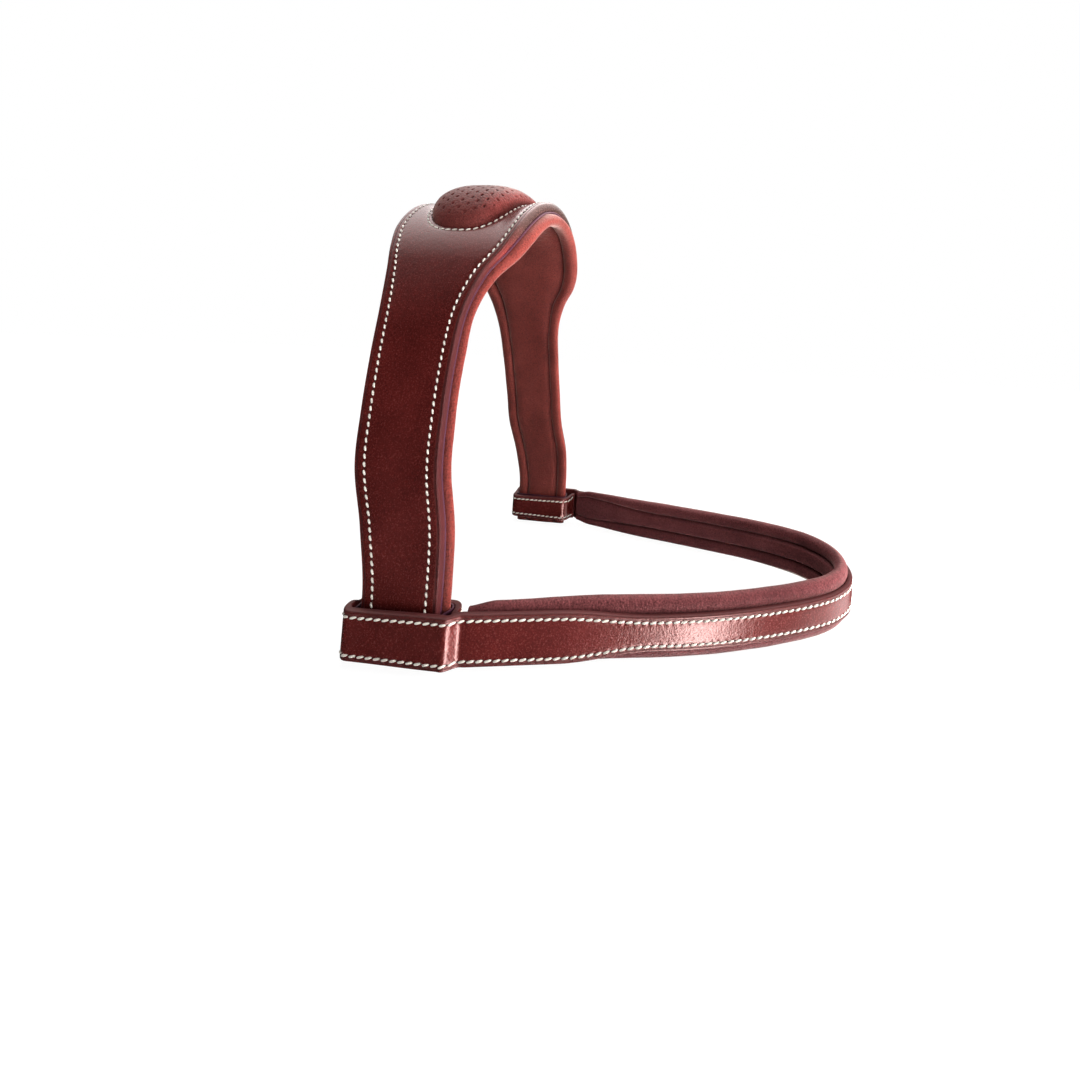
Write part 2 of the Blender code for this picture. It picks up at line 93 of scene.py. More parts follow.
lens = bpy.data.cameras.new("camera")
lens.sensor_width = SENSOR
lens.lens = FOCAL_LENGTH / PICTURE_SIDE * SENSOR
lens.shift_x = (PICTURE_SIDE / 2 - PICTURE_CENTRE[0]) / PICTURE_SIDE
lens.shift_y = (PICTURE_CENTRE[1] - PICTURE_SIDE / 2) / PICTURE_SIDE
lens.clip_start = 0.001
camera = in_scene("camera", lens)
camera.matrix_world = Matrix.Translation(CAMERA_PLACE) @ Matrix((right, up, -ahead)).transposed().to_4x4()
bpy.context.scene.camera = camera
print("lens, millimetres:", round(lens.lens, 2))

# %% [markdown]
# ## Nodes by name
# A material is a small graph. It could be joined up node by node, but helpers are shorter: one adds a
# node and sets its inputs, one does a sum, and one moves a value into another range. Each finish below
# then reads as a list of what it is made of.

# %% Helpers for node graphs
def add_node(tree, kind, inputs=None, **settings):
    """A node with its settings, and its inputs set to values or joined to other nodes' outputs."""
    node = tree.nodes.new(kind)
    for name, value in settings.items():
        setattr(node, name, value)
    for name, value in (inputs or {}).items():
        if isinstance(value, bpy.types.NodeSocket):
            tree.links.new(value, node.inputs[name])
        else:
            node.inputs[name].default_value = value
    return node


def maths(tree, operation, *values, **settings):
    """The result of a sum."""
    inputs = dict(enumerate(values))
    return add_node(tree, "ShaderNodeMath", inputs, operation=operation, **settings).outputs[0]


def ranged(tree, value, source=(0.0, 1.0), target=(0.0, 1.0), **settings):
    """A value moved from one range into another, and kept inside it."""
    ends = {"From Min": source[0], "From Max": source[1], "To Min": target[0], "To Max": target[1]}
    return add_node(tree, "ShaderNodeMapRange", {"Value": value, **ends}, **settings).outputs[0]


def new_group(name, inputs, outputs):
    """An empty node group with number inputs and outputs, and its two end nodes."""
    group = bpy.data.node_groups.new(name, "ShaderNodeTree")
    for label, value in inputs.items():
        socket = group.interface.new_socket(name=label, in_out="INPUT", socket_type="NodeSocketFloat")
        socket.default_value = value
    for label in outputs:
        group.interface.new_socket(name=label, in_out="OUTPUT", socket_type="NodeSocketFloat")
    return group, add_node(group, "NodeGroupInput"), add_node(group, "NodeGroupOutput")


print("materials to start with:", len(bpy.data.materials))

# %% [markdown]
# ## Grain
# Tanned hide has fine pores, faint wrinkles that run together, and a colour that drifts from place
# to place. A photo of leather would repeat and need a map, so four procedural textures do it. They
# read the place on the object, so the grain runs on over an edge as it does on leather. Every leather
# shares them, so they are a group.

# %% Build the grain group
def build_grain():
    inputs = {"Pore Size": 0.0007, "Wrinkle Size": 0.003, "Drift Size": 0.02, "Speck Size": 0.0006}
    group, start, end = new_group("hide grain", inputs, ("Height", "Drift", "Speck"))
    place = add_node(group, "ShaderNodeTexCoord").outputs["Object"]

    def texture(kind, size, inputs=None, **settings):
        """A texture whose cells have the size that the group is given."""
        scale = maths(group, "DIVIDE", 1.0, start.outputs[size])
        return add_node(group, kind, {"Vector": place, "Scale": scale, **(inputs or {})}, **settings)

    pores = texture("ShaderNodeTexVoronoi", "Pore Size", feature="SMOOTH_F1")
    wrinkles = texture("ShaderNodeTexNoise", "Wrinkle Size", {"Detail": 4.0})
    drift = texture("ShaderNodeTexNoise", "Drift Size", {"Detail": 3.0})
    specks = texture("ShaderNodeTexNoise", "Speck Size", {"Detail": 3.0, "Roughness": 0.7})
    height = maths(group, "MULTIPLY_ADD", wrinkles.outputs[0], 1.4, pores.outputs["Distance"])
    group.links.new(height, end.inputs["Height"])
    for source, label in ((drift, "Drift"), (specks, "Speck")):
        group.links.new(ranged(group, source.outputs[0], (0.3, 0.7)), end.inputs[label])
    return group


grain = build_grain()
print("grain inputs:", [item.name for item in grain.interface.items_tree if item.in_out == "INPUT"])

# %% [markdown]
# ## Leather finishes
# The straps are polished bridle leather, nearly smooth. The linings are softer: more wrinkle, less
# gloss, and a nap that catches light at a low angle, which is sheen. One function makes them all.
# Edges and hollows could be found by the renderer, but then they would be lost in the export. So each
# piece carries a number on its points: above 0 it is an edge dyed and waxed, and below 0 a creased
# line, or painted shade in the grooves, the punched holes and along edges that lie in shade, where the
# colour darkens and the polish dulls.

# %% Build a leather
# Below 0 the number is a creased line or painted shade: the colour goes to this dark and the gloss dulls.
CREASE_AND_SHADE_DULLNESS = 0.5
CREASE_AND_SHADE_DARK = (0.020, 0.006, 0.007)


def mixed(tree, factor, first, second, blend="MIX"):
    """A colour between two others, each of them a colour or another node's output."""
    node = add_node(tree, "ShaderNodeMix", data_type="RGBA", blend_type=blend)
    for socket, value in zip((node.inputs[0], node.inputs[6], node.inputs[7]), (factor, first, second)):
        if isinstance(value, bpy.types.NodeSocket):
            tree.links.new(value, socket)
        else:
            socket.default_value = value
    return node.outputs[2]


def leather(name, dark, light, edge, roughness, pore, relief, speck=0.25, shine=0.5, sheen=0.0):
    """A leather that drifts between two colours, with an edge colour, darker creases and painted shade,
    pores, specks and a nap.
    """
    material = bpy.data.materials.new(name)
    material.use_nodes = True
    tree = material.node_tree
    surface = tree.nodes["Principled BSDF"]
    hide = add_node(tree, "ShaderNodeGroup", {"Pore Size": pore, "Wrinkle Size": pore * 4}, node_tree=grain)
    wax_crease_and_painted_light = add_node(tree, "ShaderNodeAttribute", attribute_name="wax_crease_and_painted_light").outputs["Fac"]
    crease_and_shade = maths(tree, "MULTIPLY", wax_crease_and_painted_light, -1.0, use_clamp=True)
    colour = mixed(tree, hide.outputs["Drift"], (*dark, 1.0), (*light, 1.0))
    colour = mixed(tree, wax_crease_and_painted_light, colour, (*edge, 1.0))
    colour = mixed(tree, crease_and_shade, colour, (*CREASE_AND_SHADE_DARK, 1.0))
    specks = ranged(tree, hide.outputs["Speck"], target=(1.0 - speck, 1.0 + speck))
    colour = mixed(tree, 1.0, colour, specks, "MULTIPLY")
    tree.links.new(colour, surface.inputs["Base Color"])
    dull = ranged(tree, hide.outputs["Speck"], target=(roughness - 0.04, roughness + 0.06))
    tree.links.new(maths(tree, "MULTIPLY_ADD", crease_and_shade, CREASE_AND_SHADE_DULLNESS, dull), surface.inputs["Roughness"])
    relief = {"Height": hide.outputs["Height"], "Distance": relief, "Strength": 0.8}
    tree.links.new(add_node(tree, "ShaderNodeBump", relief).outputs[0], surface.inputs["Normal"])
    surface.inputs["Specular IOR Level"].default_value = shine
    surface.inputs["Specular Tint"].default_value = (1.0, 0.63, 0.59, 1.0)
    surface.inputs["Sheen Weight"].default_value = sheen
    surface.inputs["Sheen Roughness"].default_value = 0.45
    surface.inputs["Sheen Tint"].default_value = (1.0, 0.72, 0.64, 1.0)
    return material


# %% [markdown]
# ## The hides
# Every leather here is dyed the same burgundy, but each takes the dye in its own way. The lining of
# the browband is a little bluer than the crown's, and the poll pad is the dullest. The backer's edge
# is dyed purple. The colours are written darker than they look, because gloss and nap lie over them.

# %% Dye the hides
PURPLE = (0.045, 0.016, 0.026)
# The edge colour is the waxed edge, greyish and lighter in part as a painted highlight of the light above.
bridle_leather = leather(
    "bridle_leather", (0.072, 0.0085, 0.0074), (0.108, 0.0140, 0.0125), (0.045, 0.024, 0.021),
    roughness=0.24, pore=0.0006, relief=0.00005, speck=0.46)
backer_leather = leather(
    "backer_leather", (0.035, 0.011, 0.022), (0.050, 0.014, 0.026), PURPLE,
    roughness=0.45, pore=0.0006, relief=0.00012)
lining_leather = leather(
    "lining_leather", (0.082, 0.0115, 0.0090), (0.134, 0.0228, 0.0178), PURPLE,
    roughness=0.60, pore=0.0008, relief=0.00020, speck=0.60, shine=0.22, sheen=0.32)
band_lining_leather = leather(
    "band_lining_leather", (0.082, 0.020, 0.022), (0.128, 0.034, 0.036), PURPLE,
    roughness=0.52, pore=0.0008, relief=0.00020, speck=0.60, shine=0.18, sheen=0.12)
pad_leather = leather(
    "pad_leather", (0.072, 0.012, 0.011), (0.122, 0.025, 0.022), PURPLE,
    roughness=0.62, pore=0.0010, relief=0.00020, speck=0.60, shine=0.18, sheen=0.10)
# Near-black painted shade for the needle holes.
hole_shade = leather(
    "painted_hole_shade", (0.008, 0.002, 0.002), (0.014, 0.003, 0.003), CREASE_AND_SHADE_DARK,
    roughness=0.80, pore=0.0005, relief=0.0001)
felt = leather(
    "filler_felt", (0.33, 0.29, 0.24), (0.42, 0.38, 0.32), CREASE_AND_SHADE_DARK,
    roughness=0.90, pore=0.0009, relief=0.0003, sheen=0.4)
print("leathers:", [material.name for material in bpy.data.materials])

# %% [markdown]
# ## Thread
# Waxed linen thread is two or three strands twisted together. Modelled strands would cost too many
# faces on hundreds of stitches. Each stitch carries its own map instead, round the thread one way and
# along it the other, and a slanted wave on that map is the twist. The wave also darkens the colour
# between the strands, which is painted shade.

# %% Build the thread
def twisted_thread():
    """Cream thread with a twist, darker between its strands as painted shade."""
    material = bpy.data.materials.new("waxed_thread")
    material.use_nodes = True
    tree = material.node_tree
    surface = tree.nodes["Principled BSDF"]
    around = add_node(tree, "ShaderNodeUVMap", uv_map="around_thread").outputs[0]
    slanted = {"Vector": around, "Rotation": (0.0, 0.0, 0.6), "Scale": (3.0, 3.0, 1.0)}
    slanted = add_node(tree, "ShaderNodeMapping", slanted).outputs[0]
    twist = add_node(tree, "ShaderNodeTexWave", {"Vector": slanted, "Scale": 1.0, "Distortion": 0.6})
    # Painted shade: the colour is darker in the twist's grooves.
    colour = mixed(tree, twist.outputs["Fac"], (0.92, 0.85, 0.72, 1.0), (1.00, 0.97, 0.90, 1.0))
    tree.links.new(colour, surface.inputs["Base Color"])
    surface.inputs["Roughness"].default_value = 0.55
    bump = add_node(tree, "ShaderNodeBump", {"Height": twist.outputs["Fac"], "Distance": 0.00012})
    tree.links.new(bump.outputs[0], surface.inputs["Normal"])
    return material


thread = twisted_thread()
print("thread nodes:", len(thread.node_tree.nodes))

# %% [markdown]
# ## Wrapping a sheet round a strap
# Straps, linings and rolls all have one closed outline that changes slowly along their length. They
# could be curves with a bevel, but then no outline could change. A flat grid does it: each row of it
# is laid round one outline, its two long edges are joined, and the two ends are filled. A number on
# each point gives its waxed edge, its crease or its painted shade.

# %% Helpers for pieces
SHARP_TURN = math.radians(50.0)
MERGE_DISTANCE = 0.000002


def as_mesh(name, bm):
    """The mesh that was built in bmesh, under its name."""
    mesh = bpy.data.meshes.new(name)
    bm.to_mesh(mesh)
    bm.free()
    return mesh


def finished(name, bm, material, body):
    """The mesh as a named piece that rides on its body."""
    bmesh.ops.recalc_face_normals(bm, faces=bm.faces)
    mesh = as_mesh(name, bm)
    mesh.shade_smooth()
    mesh.set_sharp_from_angle(angle=SHARP_TURN)
    mesh.materials.append(material)
    piece = in_scene(name, mesh)
    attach(piece, body)
    print(name, len(mesh.polygons), "faces")
    return piece


def wrapped(name, rings, material, body, wax_crease_and_painted_light=None, edge_light_and_shade=None):
    """A flat sheet laid round closed outlines, one row of it to each; a factor per row scales the edge
    colour, and below 0 turns it into painted shade.
    """
    around, along = len(rings[0]), len(rings) - 1
    bm = bmesh.new()
    tone = bm.verts.layers.float.new("wax_crease_and_painted_light")
    sheet = bmesh.ops.create_grid(bm, x_segments=around, y_segments=along, size=0.5)["verts"]
    for vert in sheet:
        column = round((vert.co.x + 0.5) * around) % around
        row = round((vert.co.y + 0.5) * along)
        vert.co = rings[row][column]
        vert[tone] = wax_crease_and_painted_light[column] if wax_crease_and_painted_light else 0.0
        if edge_light_and_shade and vert[tone] > 0:
            vert[tone] *= edge_light_and_shade[row]
    bmesh.ops.remove_doubles(bm, verts=sheet, dist=MERGE_DISTANCE)
    bmesh.ops.holes_fill(bm, edges=[edge for edge in bm.edges if edge.is_boundary], sides=0)
    return finished(name, bm, material, body)


def ease(value):
    """Smooth step from 0 to 1."""
    value = min(max(value, 0.0), 1.0)
    return value * value * (3.0 - 2.0 * value)


def mix(start, end, share):
    """A value that lies a share of the way from start to end."""
    return start + (end - start) * share


def run_length(points):
    """The distance along a line of points to each of them."""
    lengths = [0.0]
    for before, after in zip(points, points[1:]):
        lengths.append(lengths[-1] + (after - before).length)
    return lengths


def evenly(points, step):
    """The same line with its points a step apart, or as near as makes them even."""
    lengths = run_length(points)
    count = max(1, round(lengths[-1] / step))
    placed, i = [], 0
    for k in range(count + 1):
        target = lengths[-1] * k / count
        while i < len(lengths) - 2 and lengths[i + 1] < target:
            i += 1
        share = (target - lengths[i]) / (lengths[i + 1] - lengths[i])
        placed.append(points[i].lerp(points[i + 1], share))
    return placed


print("a metre in steps of 0.3, made even:", len(evenly([Vector((0.0, 0.0)), Vector((1.0, 0.0))], 0.3)) - 1)

# %% [markdown]
# ## The crown's shape
# The crown is one strap bent over the poll. Its half is three arcs that run into each other and a
# straight end. Its outline is given as front and back edges at distances from the middle. A point of
# any layer is then a distance along the arch, a distance forward, and a depth below the outer face.
# So every layer can be drawn as if the strap lay flat, and is bent with it.

# %% The crown's arch and outline
CROWN_ARCS = ((0.0343, math.radians(42.8)), (0.0636, math.radians(30.6)))
STRAIGHT_END = 0.0210
STRAP_SPACING = 0.1176
CROWN_OUTLINE = (
    (0.000, 0.0195, -0.0406), (0.020, 0.0188, -0.0424), (0.040, 0.0168, -0.0404),
    (0.052, 0.0134, -0.0374), (0.064, 0.0070, -0.0344), (0.080, 0.0029, -0.0318),
    (0.100, 0.0026, -0.0300), (0.120, 0.0035, -0.0284), (0.140, 0.0050, -0.0266),
    (0.160, 0.0090, -0.0212), (0.184, 0.0100, -0.0176),
)

reach, turned = 0.0, 0.0
for radius, sweep in CROWN_ARCS:
    reach += radius * (math.sin(turned + sweep) - math.sin(turned))
    turned += sweep
cheek = (STRAP_SPACING / 2 - reach) / (1.0 - math.sin(turned)), math.pi / 2 - turned
ARCH = CROWN_ARCS + (cheek,)
CROWN_LENGTH = sum(radius * sweep for radius, sweep in ARCH) + STRAIGHT_END
below, turned = 0.0, 0.0
for radius, sweep in ARCH:
    below += radius * (math.cos(turned) - math.cos(turned + sweep))
    turned += sweep
CROWN_TOP = below + STRAIGHT_END
print("half of the crown:", round(CROWN_LENGTH, 4), "height:", round(CROWN_TOP, 4))


def crown_point(along, forward, depth):
    """Where a point of the flat strap comes to lie when it is bent over the poll."""
    side = 1.0 if along >= 0 else -1.0
    distance, beside, below, turn = abs(along), 0.0, 0.0, 0.0
    for radius, sweep in ARCH:
        part = min(distance / radius, sweep)
        beside += radius * (math.sin(turn + part) - math.sin(turn))
        below += radius * (math.cos(turn) - math.cos(turn + part))
        turn += part
        distance -= radius * part
    beside -= depth * math.sin(turn)
    below += distance + depth * math.cos(turn)
    return Vector((side * beside, PART_MIDDLE - forward, CROWN_TOP - below))


def smooth_curve(knots, place):
    """A value on the smooth curve through (place, value) knots, level at both ends."""
    if place >= knots[-1][0]:
        return knots[-1][1]
    slopes = [0.0]
    for before, after in zip(knots, knots[2:]):
        slopes.append((after[1] - before[1]) / (after[0] - before[0]))
    slopes.append(0.0)
    i = max(k for k in range(len(knots) - 1) if knots[k][0] <= place)
    span = knots[i + 1][0] - knots[i][0]
    u = (place - knots[i][0]) / span
    bend = knots[i][1] * (1 + 2 * u) * (1 - u) ** 2 + knots[i + 1][1] * u * u * (3 - 2 * u)
    return bend + span * (slopes[i] * u * (1 - u) ** 2 - slopes[i + 1] * u * u * (1 - u))


FRONT_KNOTS = [(knot[0], knot[1]) for knot in CROWN_OUTLINE]
BACK_KNOTS = [(knot[0], knot[2]) for knot in CROWN_OUTLINE]


def crown_edges(along):
    """The strap's back and front edge, at a distance from the middle."""
    return smooth_curve(BACK_KNOTS, abs(along)), smooth_curve(FRONT_KNOTS, abs(along))


# %% [markdown]
# ## Seams
# A seam is a row of holes made with a pricking iron, and a thread that fills it. A bump in a material
# would be lost in the meshes, so both are shaped. The row is worked out first, because the leather
# sinks a little along it and more at each hole. The same row later places the stitches.

# %% Work out a seam
CHANNEL_WIDTH = 0.0009
CHANNEL_DEPTH = 0.00014
HOLE_SHARE = 0.7


class Seam:
    """A row of stitches along a line of points with normals."""

    def __init__(self, points, normals, pitch, fill):
        self.points, self.normals, self.fill = points, normals, fill
        self.lengths = run_length(points)
        self.count = round(self.lengths[-1] / pitch)
        self.pitch = self.lengths[-1] / self.count

    def phase(self, i):
        """How many stitches lie before a point of the row."""
        return self.lengths[i] / self.pitch

    def at(self, distance):
        """Place, direction and normal at a distance along the row."""
        low, high = 0, len(self.lengths) - 1
        while high - low > 1:
            middle = (low + high) // 2
            low, high = (middle, high) if self.lengths[middle] <= distance else (low, middle)
        share = (distance - self.lengths[low]) / (self.lengths[high] - self.lengths[low])
        run = (self.points[high] - self.points[low]).normalized()
        normal = self.normals[low].lerp(self.normals[high], share).normalized()
        return self.points[low].lerp(self.points[high], share), run, normal


def seam_dip(gap, phase):
    """How far the leather sinks beside a seam: a channel, and more at each hole."""
    channel = CHANNEL_DEPTH * math.exp(-(gap / CHANNEL_WIDTH) ** 2)
    return channel * (1.0 + HOLE_SHARE * math.cos(2 * math.pi * phase))


def offset_point(place, step=0.0001):
    """A point of the outer face and the normal there, from a function of depth."""
    return place(0.0), (place(-step) - place(step)).normalized()


print("a hole is this many times as deep as the channel:", round(seam_dip(0.0, 0.0) / CHANNEL_DEPTH, 2))

# %% [markdown]
# ## The crown's two long seams
# They run beside the strap's edges all the way. The strap is pressed up along its front edge over the
# poll, where the padding is thickest, so the seams have to follow that too. A raised edge could be a
# bevel or a sculpted bulge. Here it is a term in the place of every point, which the strap, the seams
# and the window share.

# %% Lay out the long seams
CROWN_SEAM_INSET = 0.0040
EDGE_THICKNESS = 0.0024
ROW_STEP = 0.00055
RAISED_EDGE, RAISED_START, RAISED_WIDTH = 0.0018, 0.006, 0.011
RAISED_END = (0.030, 0.035)

row_count = 2 * round(CROWN_LENGTH / ROW_STEP)
crown_rows = [mix(-CROWN_LENGTH, CROWN_LENGTH, i / row_count) for i in range(row_count + 1)]


def beyond(along, start, length):
    """0 up to a distance from the middle, and 1 a length past it."""
    return ease((abs(along) - start) / length)


def crown_face(along, forward, depth):
    """A point of the strap, which is thickest along its front edge over the poll."""
    raised = RAISED_EDGE * ease((forward - RAISED_START) / RAISED_WIDTH) * (1 - beyond(along, *RAISED_END))
    return crown_point(along, forward, depth - raised * (1 - max(depth, 0.0) / EDGE_THICKNESS))


def crown_seam(route, pitch, fill):
    """A seam on the crown, through (along, forward) places."""
    places = [offset_point(lambda depth: crown_face(along, forward, depth)) for along, forward in route]
    points, normals = zip(*places)
    return Seam(points, normals, pitch, fill)


back_route = [(along, crown_edges(along)[0] + CROWN_SEAM_INSET) for along in crown_rows]
front_route = [(along, crown_edges(along)[1] - CROWN_SEAM_INSET) for along in crown_rows]
back_seam, front_seam = (crown_seam(route, pitch=0.0028, fill=0.70) for route in (back_route, front_route))
print("stitches beside the edges:", back_seam.count, "and", front_seam.count)

# %% [markdown]
# ## The window
# An oval hole is cut in the strap at the poll, and the soft pad stands up through it. Its outline is
# squarer than an ellipse, which a power of 3 in place of 2 gives. The same formula says how far any
# point lies from the outline, and that is what cuts the hole below.

# %% Draw the window and its seam
WINDOW_HALF_LENGTH, WINDOW_HALF_WIDTH = 0.0412, 0.0190
WINDOW_FORWARD = -0.0124
WINDOW_SQUARENESS = 3.0
WINDOW_SEAM_OUTSET = 0.0017
WINDOW_SEAM_STEPS = 400


def window_point(turn, grow=0.0):
    """A point of the window's outline, grown by a distance: (along, forward)."""
    cos, sin = math.cos(turn), math.sin(turn)
    power = WINDOW_SQUARENESS
    reach = (abs(cos) ** power + abs(sin) ** power) ** (-1.0 / power)
    along = (WINDOW_HALF_LENGTH + grow) * reach * cos
    return along, WINDOW_FORWARD + (WINDOW_HALF_WIDTH + grow) * reach * sin


def window_distance(along, forward):
    """About how far a point lies outside the window's outline, and its direction from the middle."""
    x, y = along / WINDOW_HALF_LENGTH, (forward - WINDOW_FORWARD) / WINDOW_HALF_WIDTH
    size = (abs(x) ** WINDOW_SQUARENESS + abs(y) ** WINDOW_SQUARENESS) ** (1 / WINDOW_SQUARENESS)
    slope = math.hypot(x * x / WINDOW_HALF_LENGTH, y * y / WINDOW_HALF_WIDTH) / max(size, 0.01) ** 2
    return (size - 1.0) / max(slope, 1.0), math.atan2(y, x)


turns = [2 * math.pi * i / WINDOW_SEAM_STEPS for i in range(WINDOW_SEAM_STEPS + 1)]
window_seam = crown_seam([window_point(turn, WINDOW_SEAM_OUTSET) for turn in turns], pitch=0.0030, fill=0.74)
print("stitches round the window:", window_seam.count)

# %% [markdown]
# ## A strap seen end on
# A saddler rounds a strap's edges, waxes them, and draws a line beside each with a hot creasing iron.
# A bevel would round the edges, but it can't leave the points where the crease and the seams need
# them. So the outline is drawn: a quarter circle at each upper corner, points close together beside
# it, and few in between.

# %% Draw the outline of a strap
CREASE_GAP, CREASE_WIDTH, CREASE_DEPTH, CREASE_TONE = 0.00035, 0.00035, 0.00022, 0.8
CORNER_STEPS = 6
LOWER_CORNER, LOWER_CUT = 0.5, 0.3
BACK_TONE = 0.6


def creased(inset, corner):
    """How much of the crease's depth and darkness there is at a distance from the edge."""
    return math.exp(-((inset - corner - CREASE_GAP) / CREASE_WIDTH) ** 2)


def strap_outline(low, high, thickness, corner, step, fine, middle):
    """Points round a strap: (across, depth, edge tone), closest together along its two edges."""
    upper = []
    for k in reversed(range(CORNER_STEPS + 1)):
        turn = math.pi / 2 * k / CORNER_STEPS
        upper.append((corner * (1 - math.sin(turn)), corner * (1 - math.cos(turn)), min(1.0, k / 2)))
    offsets = [corner + step * (k + 1) for k in range(fine)]
    upper += [(inset, 0.0, -CREASE_TONE * creased(inset, corner)) for inset in offsets]
    outline = [(low + inset, depth, tone) for inset, depth, tone in upper]
    outline += [(mix(low + offsets[-1], high - offsets[-1], k / middle), 0.0, 0.0) for k in range(1, middle)]
    outline += [(high - inset, depth, tone) for inset, depth, tone in reversed(upper)]
    under = corner * LOWER_CORNER
    cut = under * LOWER_CUT
    outline += [(high, thickness - under, 1.0), (high - cut, thickness - cut, 1.0)]
    outline += [(mix(high - under, low + under, k / 4), thickness, BACK_TONE) for k in range(5)]
    return outline + [(low + cut, thickness - cut, 1.0), (low, thickness - under, 1.0)]


print("points round a strap:", len(strap_outline(-0.02, 0.02, 0.0024, 0.0017, 0.00035, 14, 50)))

# %% [markdown]
# ## The crown strap
# The outer leather follows the arch exactly, so one wrapped sheet is enough. Cutting the window with a
# boolean would leave long thin faces, so points near its line are pulled onto it and those inside are
# pressed down out of sight. That leaves a clean cut edge round the pad. Over the poll the strap's edges
# keep their lighter waxed colour, partly a painted highlight, and down the straps they get painted shade.

# %% Shape the crown strap
WINDOW_WALL = 0.0017
WINDOW_PULL = 0.00045
WINDOW_LIP = 0.0002
WINDOW_REACH = 0.004
WINDOW_SEAM_SINK = 0.7
POLL_CORNER, STRAP_CORNER = 0.0017, 0.0006
CROWN_COLUMNS = (0.00035, 14, 50)
POLL_END = (0.045, 0.035)
# Over the poll the edges keep their colour, partly a painted highlight; past this distance they fade into
# painted shade of this tone.
EDGE_SHADE_END = (0.035, 0.035)
EDGE_SHADE_TONE = -0.8


def crown_profile(along):
    """The strap's thickness, its edge's rounding, and the step and counts of its columns."""
    return EDGE_THICKNESS, mix(POLL_CORNER, STRAP_CORNER, beyond(along, *POLL_END)), *CROWN_COLUMNS


def cut_window(along, across, depth):
    """The point moved onto the window's line if it is near, or sunk if it is inside."""
    gap, turn = window_distance(along, across)
    depth += seam_dip(gap - WINDOW_SEAM_OUTSET, 0.0) * WINDOW_SEAM_SINK
    if abs(gap) < WINDOW_PULL:
        return (*window_point(turn), depth + (WINDOW_LIP if gap > 0 else WINDOW_WALL))
    return along, across, depth + (WINDOW_WALL if gap <= 0 else 0.0)


def strap_ring(i):
    """The strap's outline at one row, bent into place."""
    along = crown_rows[i]
    low, high = crown_edges(along)
    profile = crown_profile(along)
    ring = []
    for across, depth, _ in strap_outline(low, high, *profile):
        place = along, across, depth
        if depth == 0.0:
            depth += CREASE_DEPTH * (creased(across - low, profile[1]) + creased(high - across, profile[1]))
            depth += seam_dip(across - low - CROWN_SEAM_INSET, back_seam.phase(i))
            depth += seam_dip(high - CROWN_SEAM_INSET - across, front_seam.phase(i))
            place = along, across, depth
            if abs(along) < WINDOW_HALF_LENGTH + WINDOW_REACH:
                place = cut_window(along, across, depth)
        ring.append(crown_face(*place))
    return ring


strap_tones = [tone for _, _, tone in strap_outline(-0.02, 0.02, *crown_profile(0.0))]
# Per row: the edge colour over the poll, painted shade down the straps.
edge_light_and_shade = [mix(1.0, EDGE_SHADE_TONE, beyond(along, *EDGE_SHADE_END)) for along in crown_rows]
crown_strap = wrapped("crown_strap", [strap_ring(i) for i in range(len(crown_rows))],
                      bridle_leather, "crown", strap_tones, edge_light_and_shade)
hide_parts("crown_leather")

# %% [markdown]
# ## The backer
# Behind the strap lies a thin second layer that closes the window and carries the lining. Only its
# waxed edge shows, as a dark line under the strap's edge, so it is wrapped with few columns.

# %% Shape the crown backer
STRAP_LEATHER = 0.0020
GAP = 0.0003
BACKER_LEATHER = 0.0007
BACKER_TOP = STRAP_LEATHER + GAP
EDGE_ROUND = 0.0003
EDGE_CLEARANCE = 0.00006


def backer_ring(along):
    """The backer's outline at one distance from the middle."""
    low, high = crown_edges(along)
    top, bottom = EDGE_THICKNESS + EDGE_CLEARANCE, BACKER_TOP + BACKER_LEATHER + GAP * 0.8
    middle, side = (low + high) / 2, (top + bottom) / 2
    upper = [(low, side), (low + EDGE_ROUND, top), (middle, top), (high - EDGE_ROUND, top)]
    lower = [(high, side), (high - EDGE_ROUND, bottom), (middle, bottom), (low + EDGE_ROUND, bottom)]
    return [crown_point(along, across, depth) for across, depth in upper + lower]


crown_backing = wrapped("crown_backing", [backer_ring(along) for along in crown_rows],
                        backer_leather, "crown")
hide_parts("crown_backer")

# %% [markdown]
# ## The soft linings
# The lining is thin soft leather turned round a roll of filler at each edge, with a flat padded panel
# between the rolls and a sewn groove beside each. A cloth simulation could puff it up, but leather
# drawn this tight over firm rolls keeps the shape of its filling. So its end view is drawn with a few
# points, softened by cutting its corners twice, and given a thickness. Slow noise moves the finished
# skin a little, as hand-laid soft leather never lies dead straight. The noise gets a seed, or else it
# would be another one in each run.

# %% Draw the outline of a lining
LINING_LEATHER = 0.0006
GROOVE_WIDTH = 0.0012
# Painted shade in the grooves beside the rolls: how dark, how wide, and how far it is moved.
GROOVE_SHADE, GROOVE_SHADE_WIDTH, GROOVE_SHADE_SHIFT = -0.5, 0.0010, 0.0003
PANEL_POINTS = ((0.45, 2.0), (0.8, 1.9))
PANEL_EDGE_HEIGHT = 1.25
GROOVE_PLACE, TURNED_IN = 0.94, 0.8
ROLL_START = math.radians(245.0)
ROLL_STEPS = 8
WAVES, RIPPLES, RIPPLE_SHARE = 90.0, 260.0, 0.35
HAND_SEED = 7


